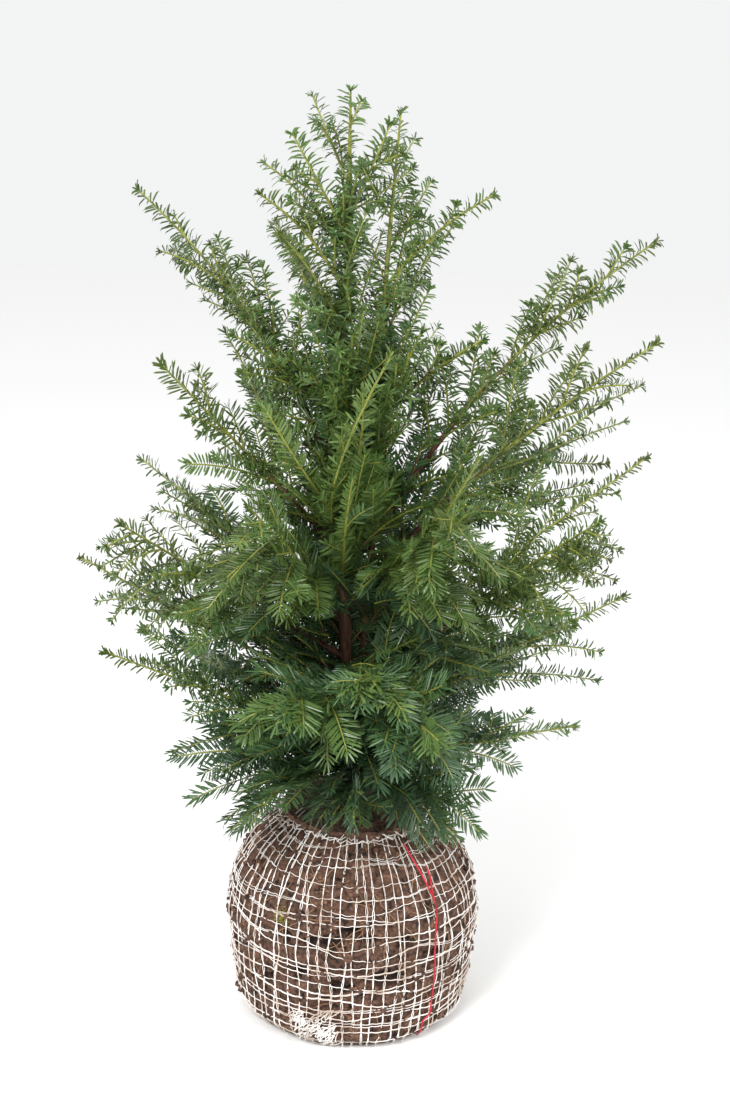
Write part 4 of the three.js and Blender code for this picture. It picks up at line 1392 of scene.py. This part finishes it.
side_way = np.linspace(PROFILE_WAY[1] - 26, PROFILE_WAY[7] + 10, 50)
under = side_way < PROFILE_WAY[1]
radius, height = outline_at(side_way)
for k in range(UPRIGHTS):
    wander = np.interp(side_way, np.linspace(side_way[0], side_way[-1], 9), draw_net.normal(0, 0.17, 9))
    middle = (k + draw_net.normal(0, 0.16) + wander) * 2 * np.pi / UPRIGHTS
    for strand in (0, 1):
        beside = (0.7 + 0.5 * np.sin(side_way / 31 + k)) * np.sin(side_way / 4.6 + np.pi * strand + k)
        angle = middle + beside / BALL_GIRTH
        out = 0.7 + 0.9 * np.sin(side_way / 13 + 2 * k) + 0.3 * np.sin(side_way / 2.9 + strand)
        places = on_ball(angle, np.clip(height, 1.2, 225), out)
        flat = np.stack([radius * np.cos(angle), radius * np.sin(angle), 0 * radius + YARN], -1)
        places[under] = flat[under]
        yarns.append((places, YARN * thinner_above(height)))
print(UPRIGHTS, "chains of two strands")

# %% [markdown]
# Crossing yarns run round the ball from chain to chain, often two side by side. Each drifts
# up and down in long waves, strays at the chains and sags a little between them.

# %% The net's crossing yarns
HOOPS = 22
WAVES = (1, 2, 3, 5, 8)
STRAY = 1.0
SAG = 1.0

around = np.arange(UPRIGHTS * 3 + 1) * 2 * np.pi / (UPRIGHTS * 3)
for hoop in range(HOOPS):
    level = between(9, 214, (hoop + draw_net.uniform(0.2, 0.8)) / HOOPS)
    drift = sum(draw_net.normal(0, 1.5) * np.sin(n * around + draw_net.uniform(0, 6.3)) for n in WAVES)
    stray = np.repeat(draw_net.normal(0, STRAY, UPRIGHTS), 3)
    stray = np.convolve(np.concatenate([stray[-3:], stray, stray[:3]]), np.ones(5) / 5, "same")[3:-3]
    stray = np.append(stray, stray[0])
    sag = SAG * (1 - np.cos(around * UPRIGHTS)) / 2
    for strand in (0, 1):
        apart = strand * draw_net.uniform(0.2, 1.0) ** 2 * 3.2
        apart = apart * np.maximum(0, np.sin(2 * around + draw_net.uniform(0, 6.3)))
        height = np.clip(level + drift + stray - sag - apart, 3, 219)
        out = 1.0 + 1.0 * np.sin(9 * around + hoop) + 0.3 * strand
        yarns.append((on_ball(around, height, out), 0.9 * YARN * thinner_above(height)))
net = joined_piece("net_yarns", *tubes(yarns, 3), WHITE_YARN, "net")
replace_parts(net, "ball_net")

# %% [markdown]
# Where the net was cut off low on the front, its slack lies in a crumpled bunch. At the neck
# three rounds of yarn gather it, and its cut ends stand up. None of this follows the mesh,
# so each loose end is drawn by itself.

# %% Slack yarn
BUNCH_FROM, BUNCH_TO = -117, -97
BUNCH_LOOPS, NECK_ROUNDS, CUT_ENDS = 44, 3, 46

loose = []
for k in range(BUNCH_LOOPS):
    angle = math.radians(draw_net.uniform(BUNCH_FROM, BUNCH_TO))
    height = draw_net.uniform(5, 46)
    steps = np.linspace(-1, 1, 14)
    start = draw_net.uniform(0, 6.3)
    angles = angle + 0.05 * steps + 0.03 * np.sin(4 * steps + start)
    heights = np.clip(height + 9 * np.sin(3 * steps + start) * draw_net.uniform(0.4, 1), 3, 60)
    out = 1.6 + 1.6 * np.abs(np.sin(5 * steps + k))
    loose.append((on_ball(angles, heights, out), np.full(len(steps), YARN)))
for k in range(NECK_ROUNDS):
    angles = np.linspace(0, 2 * np.pi, 91)
    heights = 214 + 1.6 * k + 1.3 * np.sin(angles * 37 + k) + 0.8 * np.sin(angles * 5 + 2 * k)
    out = 2.2 + 0.8 * np.sin(angles * 29 + 2 * k)
    loose.append((on_ball(angles, heights, out), np.full(len(angles), 1.1 * YARN)))
for k in range(CUT_ENDS):
    angle = draw_net.uniform(0, 2 * np.pi)
    steps = np.linspace(0, 1, 6)
    angles = angle + draw_net.normal(0, 0.08) * steps
    heights = 213 + draw_net.uniform(2, 8) * steps
    loose.append((on_ball(angles, heights, 2 + 3.5 * steps), np.full(len(steps), YARN)))
joined_piece("net_slack", *tubes(loose, 4), WHITE_YARN, "net")

# %% [markdown]
# The red yarn runs down through the mesh on the right of the front. Its way is given by
# degrees round the ball and heights, and it is thicker than the white yarn, so that it shows.

# %% Marker yarn
MARKER_YARN = 0.85
MARKER_TOP = [(-55, 208), (-54, 203), (-50.8, 176), (-49.3, 149)]
MARKER_WAY = [*MARKER_TOP, (-52, 112), (-50, 70), (-49, 33), (-53.6, 26), (-53, 6)]
SHORT_WAY = [(-47.2, 188), (-48.4, 172), (-49.6, 149)]
strands = []
for way, out in ((MARKER_WAY, 2.6), (SHORT_WAY, 2.8)):
    steps = np.linspace(0, len(way) - 1, 12 * len(way))
    degrees, heights = (np.interp(steps, range(len(way)), row) for row in zip(*way))
    angles = np.radians(degrees) + 0.006 * np.sin(steps * 3.1)
    strands.append((on_ball(angles, heights, out), np.full(len(steps), MARKER_YARN)))
marker = joined_piece("marker_yarn", *tubes(strands, 5), RED_YARN, "marker")
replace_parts(marker, "marker_thread")

# %% [markdown]
# A small tuft of dry moss grows on the loam, on the left of the front. Moss is soft and quite
# dull, yellow at its tips. Each of its stems is a short tube that thins to a point.

# %% Moss
MOSS = mottled_material("dry moss", 2.5, "#6b6a2a", "#b4ad55", 0.95)
MOSS_STEMS = 60
TUFT_ANGLE, TUFT_HEIGHT = math.radians(-124.6), 142

tuft = []
for _ in range(MOSS_STEMS):
    angle = TUFT_ANGLE + draw_net.normal(0, 0.03)
    height = TUFT_HEIGHT + draw_net.normal(0, 5)
    start = on_ball(angle, height, -0.5)
    lean = unit(outwards(angle, 0.2) + draw_net.normal(0, 0.6, 3))
    end = start + lean * draw_net.uniform(2, 4.5)
    tuft.append((np.linspace(start, end, 3), np.array([0.5, 0.45, 0.15])))
joined_piece("moss_tuft", *tubes(tuft, 3), MOSS, "soil")

# %% [markdown]
# Last, the visual plant must fill the same box as the plain model.

# %% Sizes and finish
visual_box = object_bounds()
for name, box in (("plain", CAD_BOX), ("dressed", visual_box)):
    print(name, [round(side, 3) for side in box[1] - box[0]], "m")
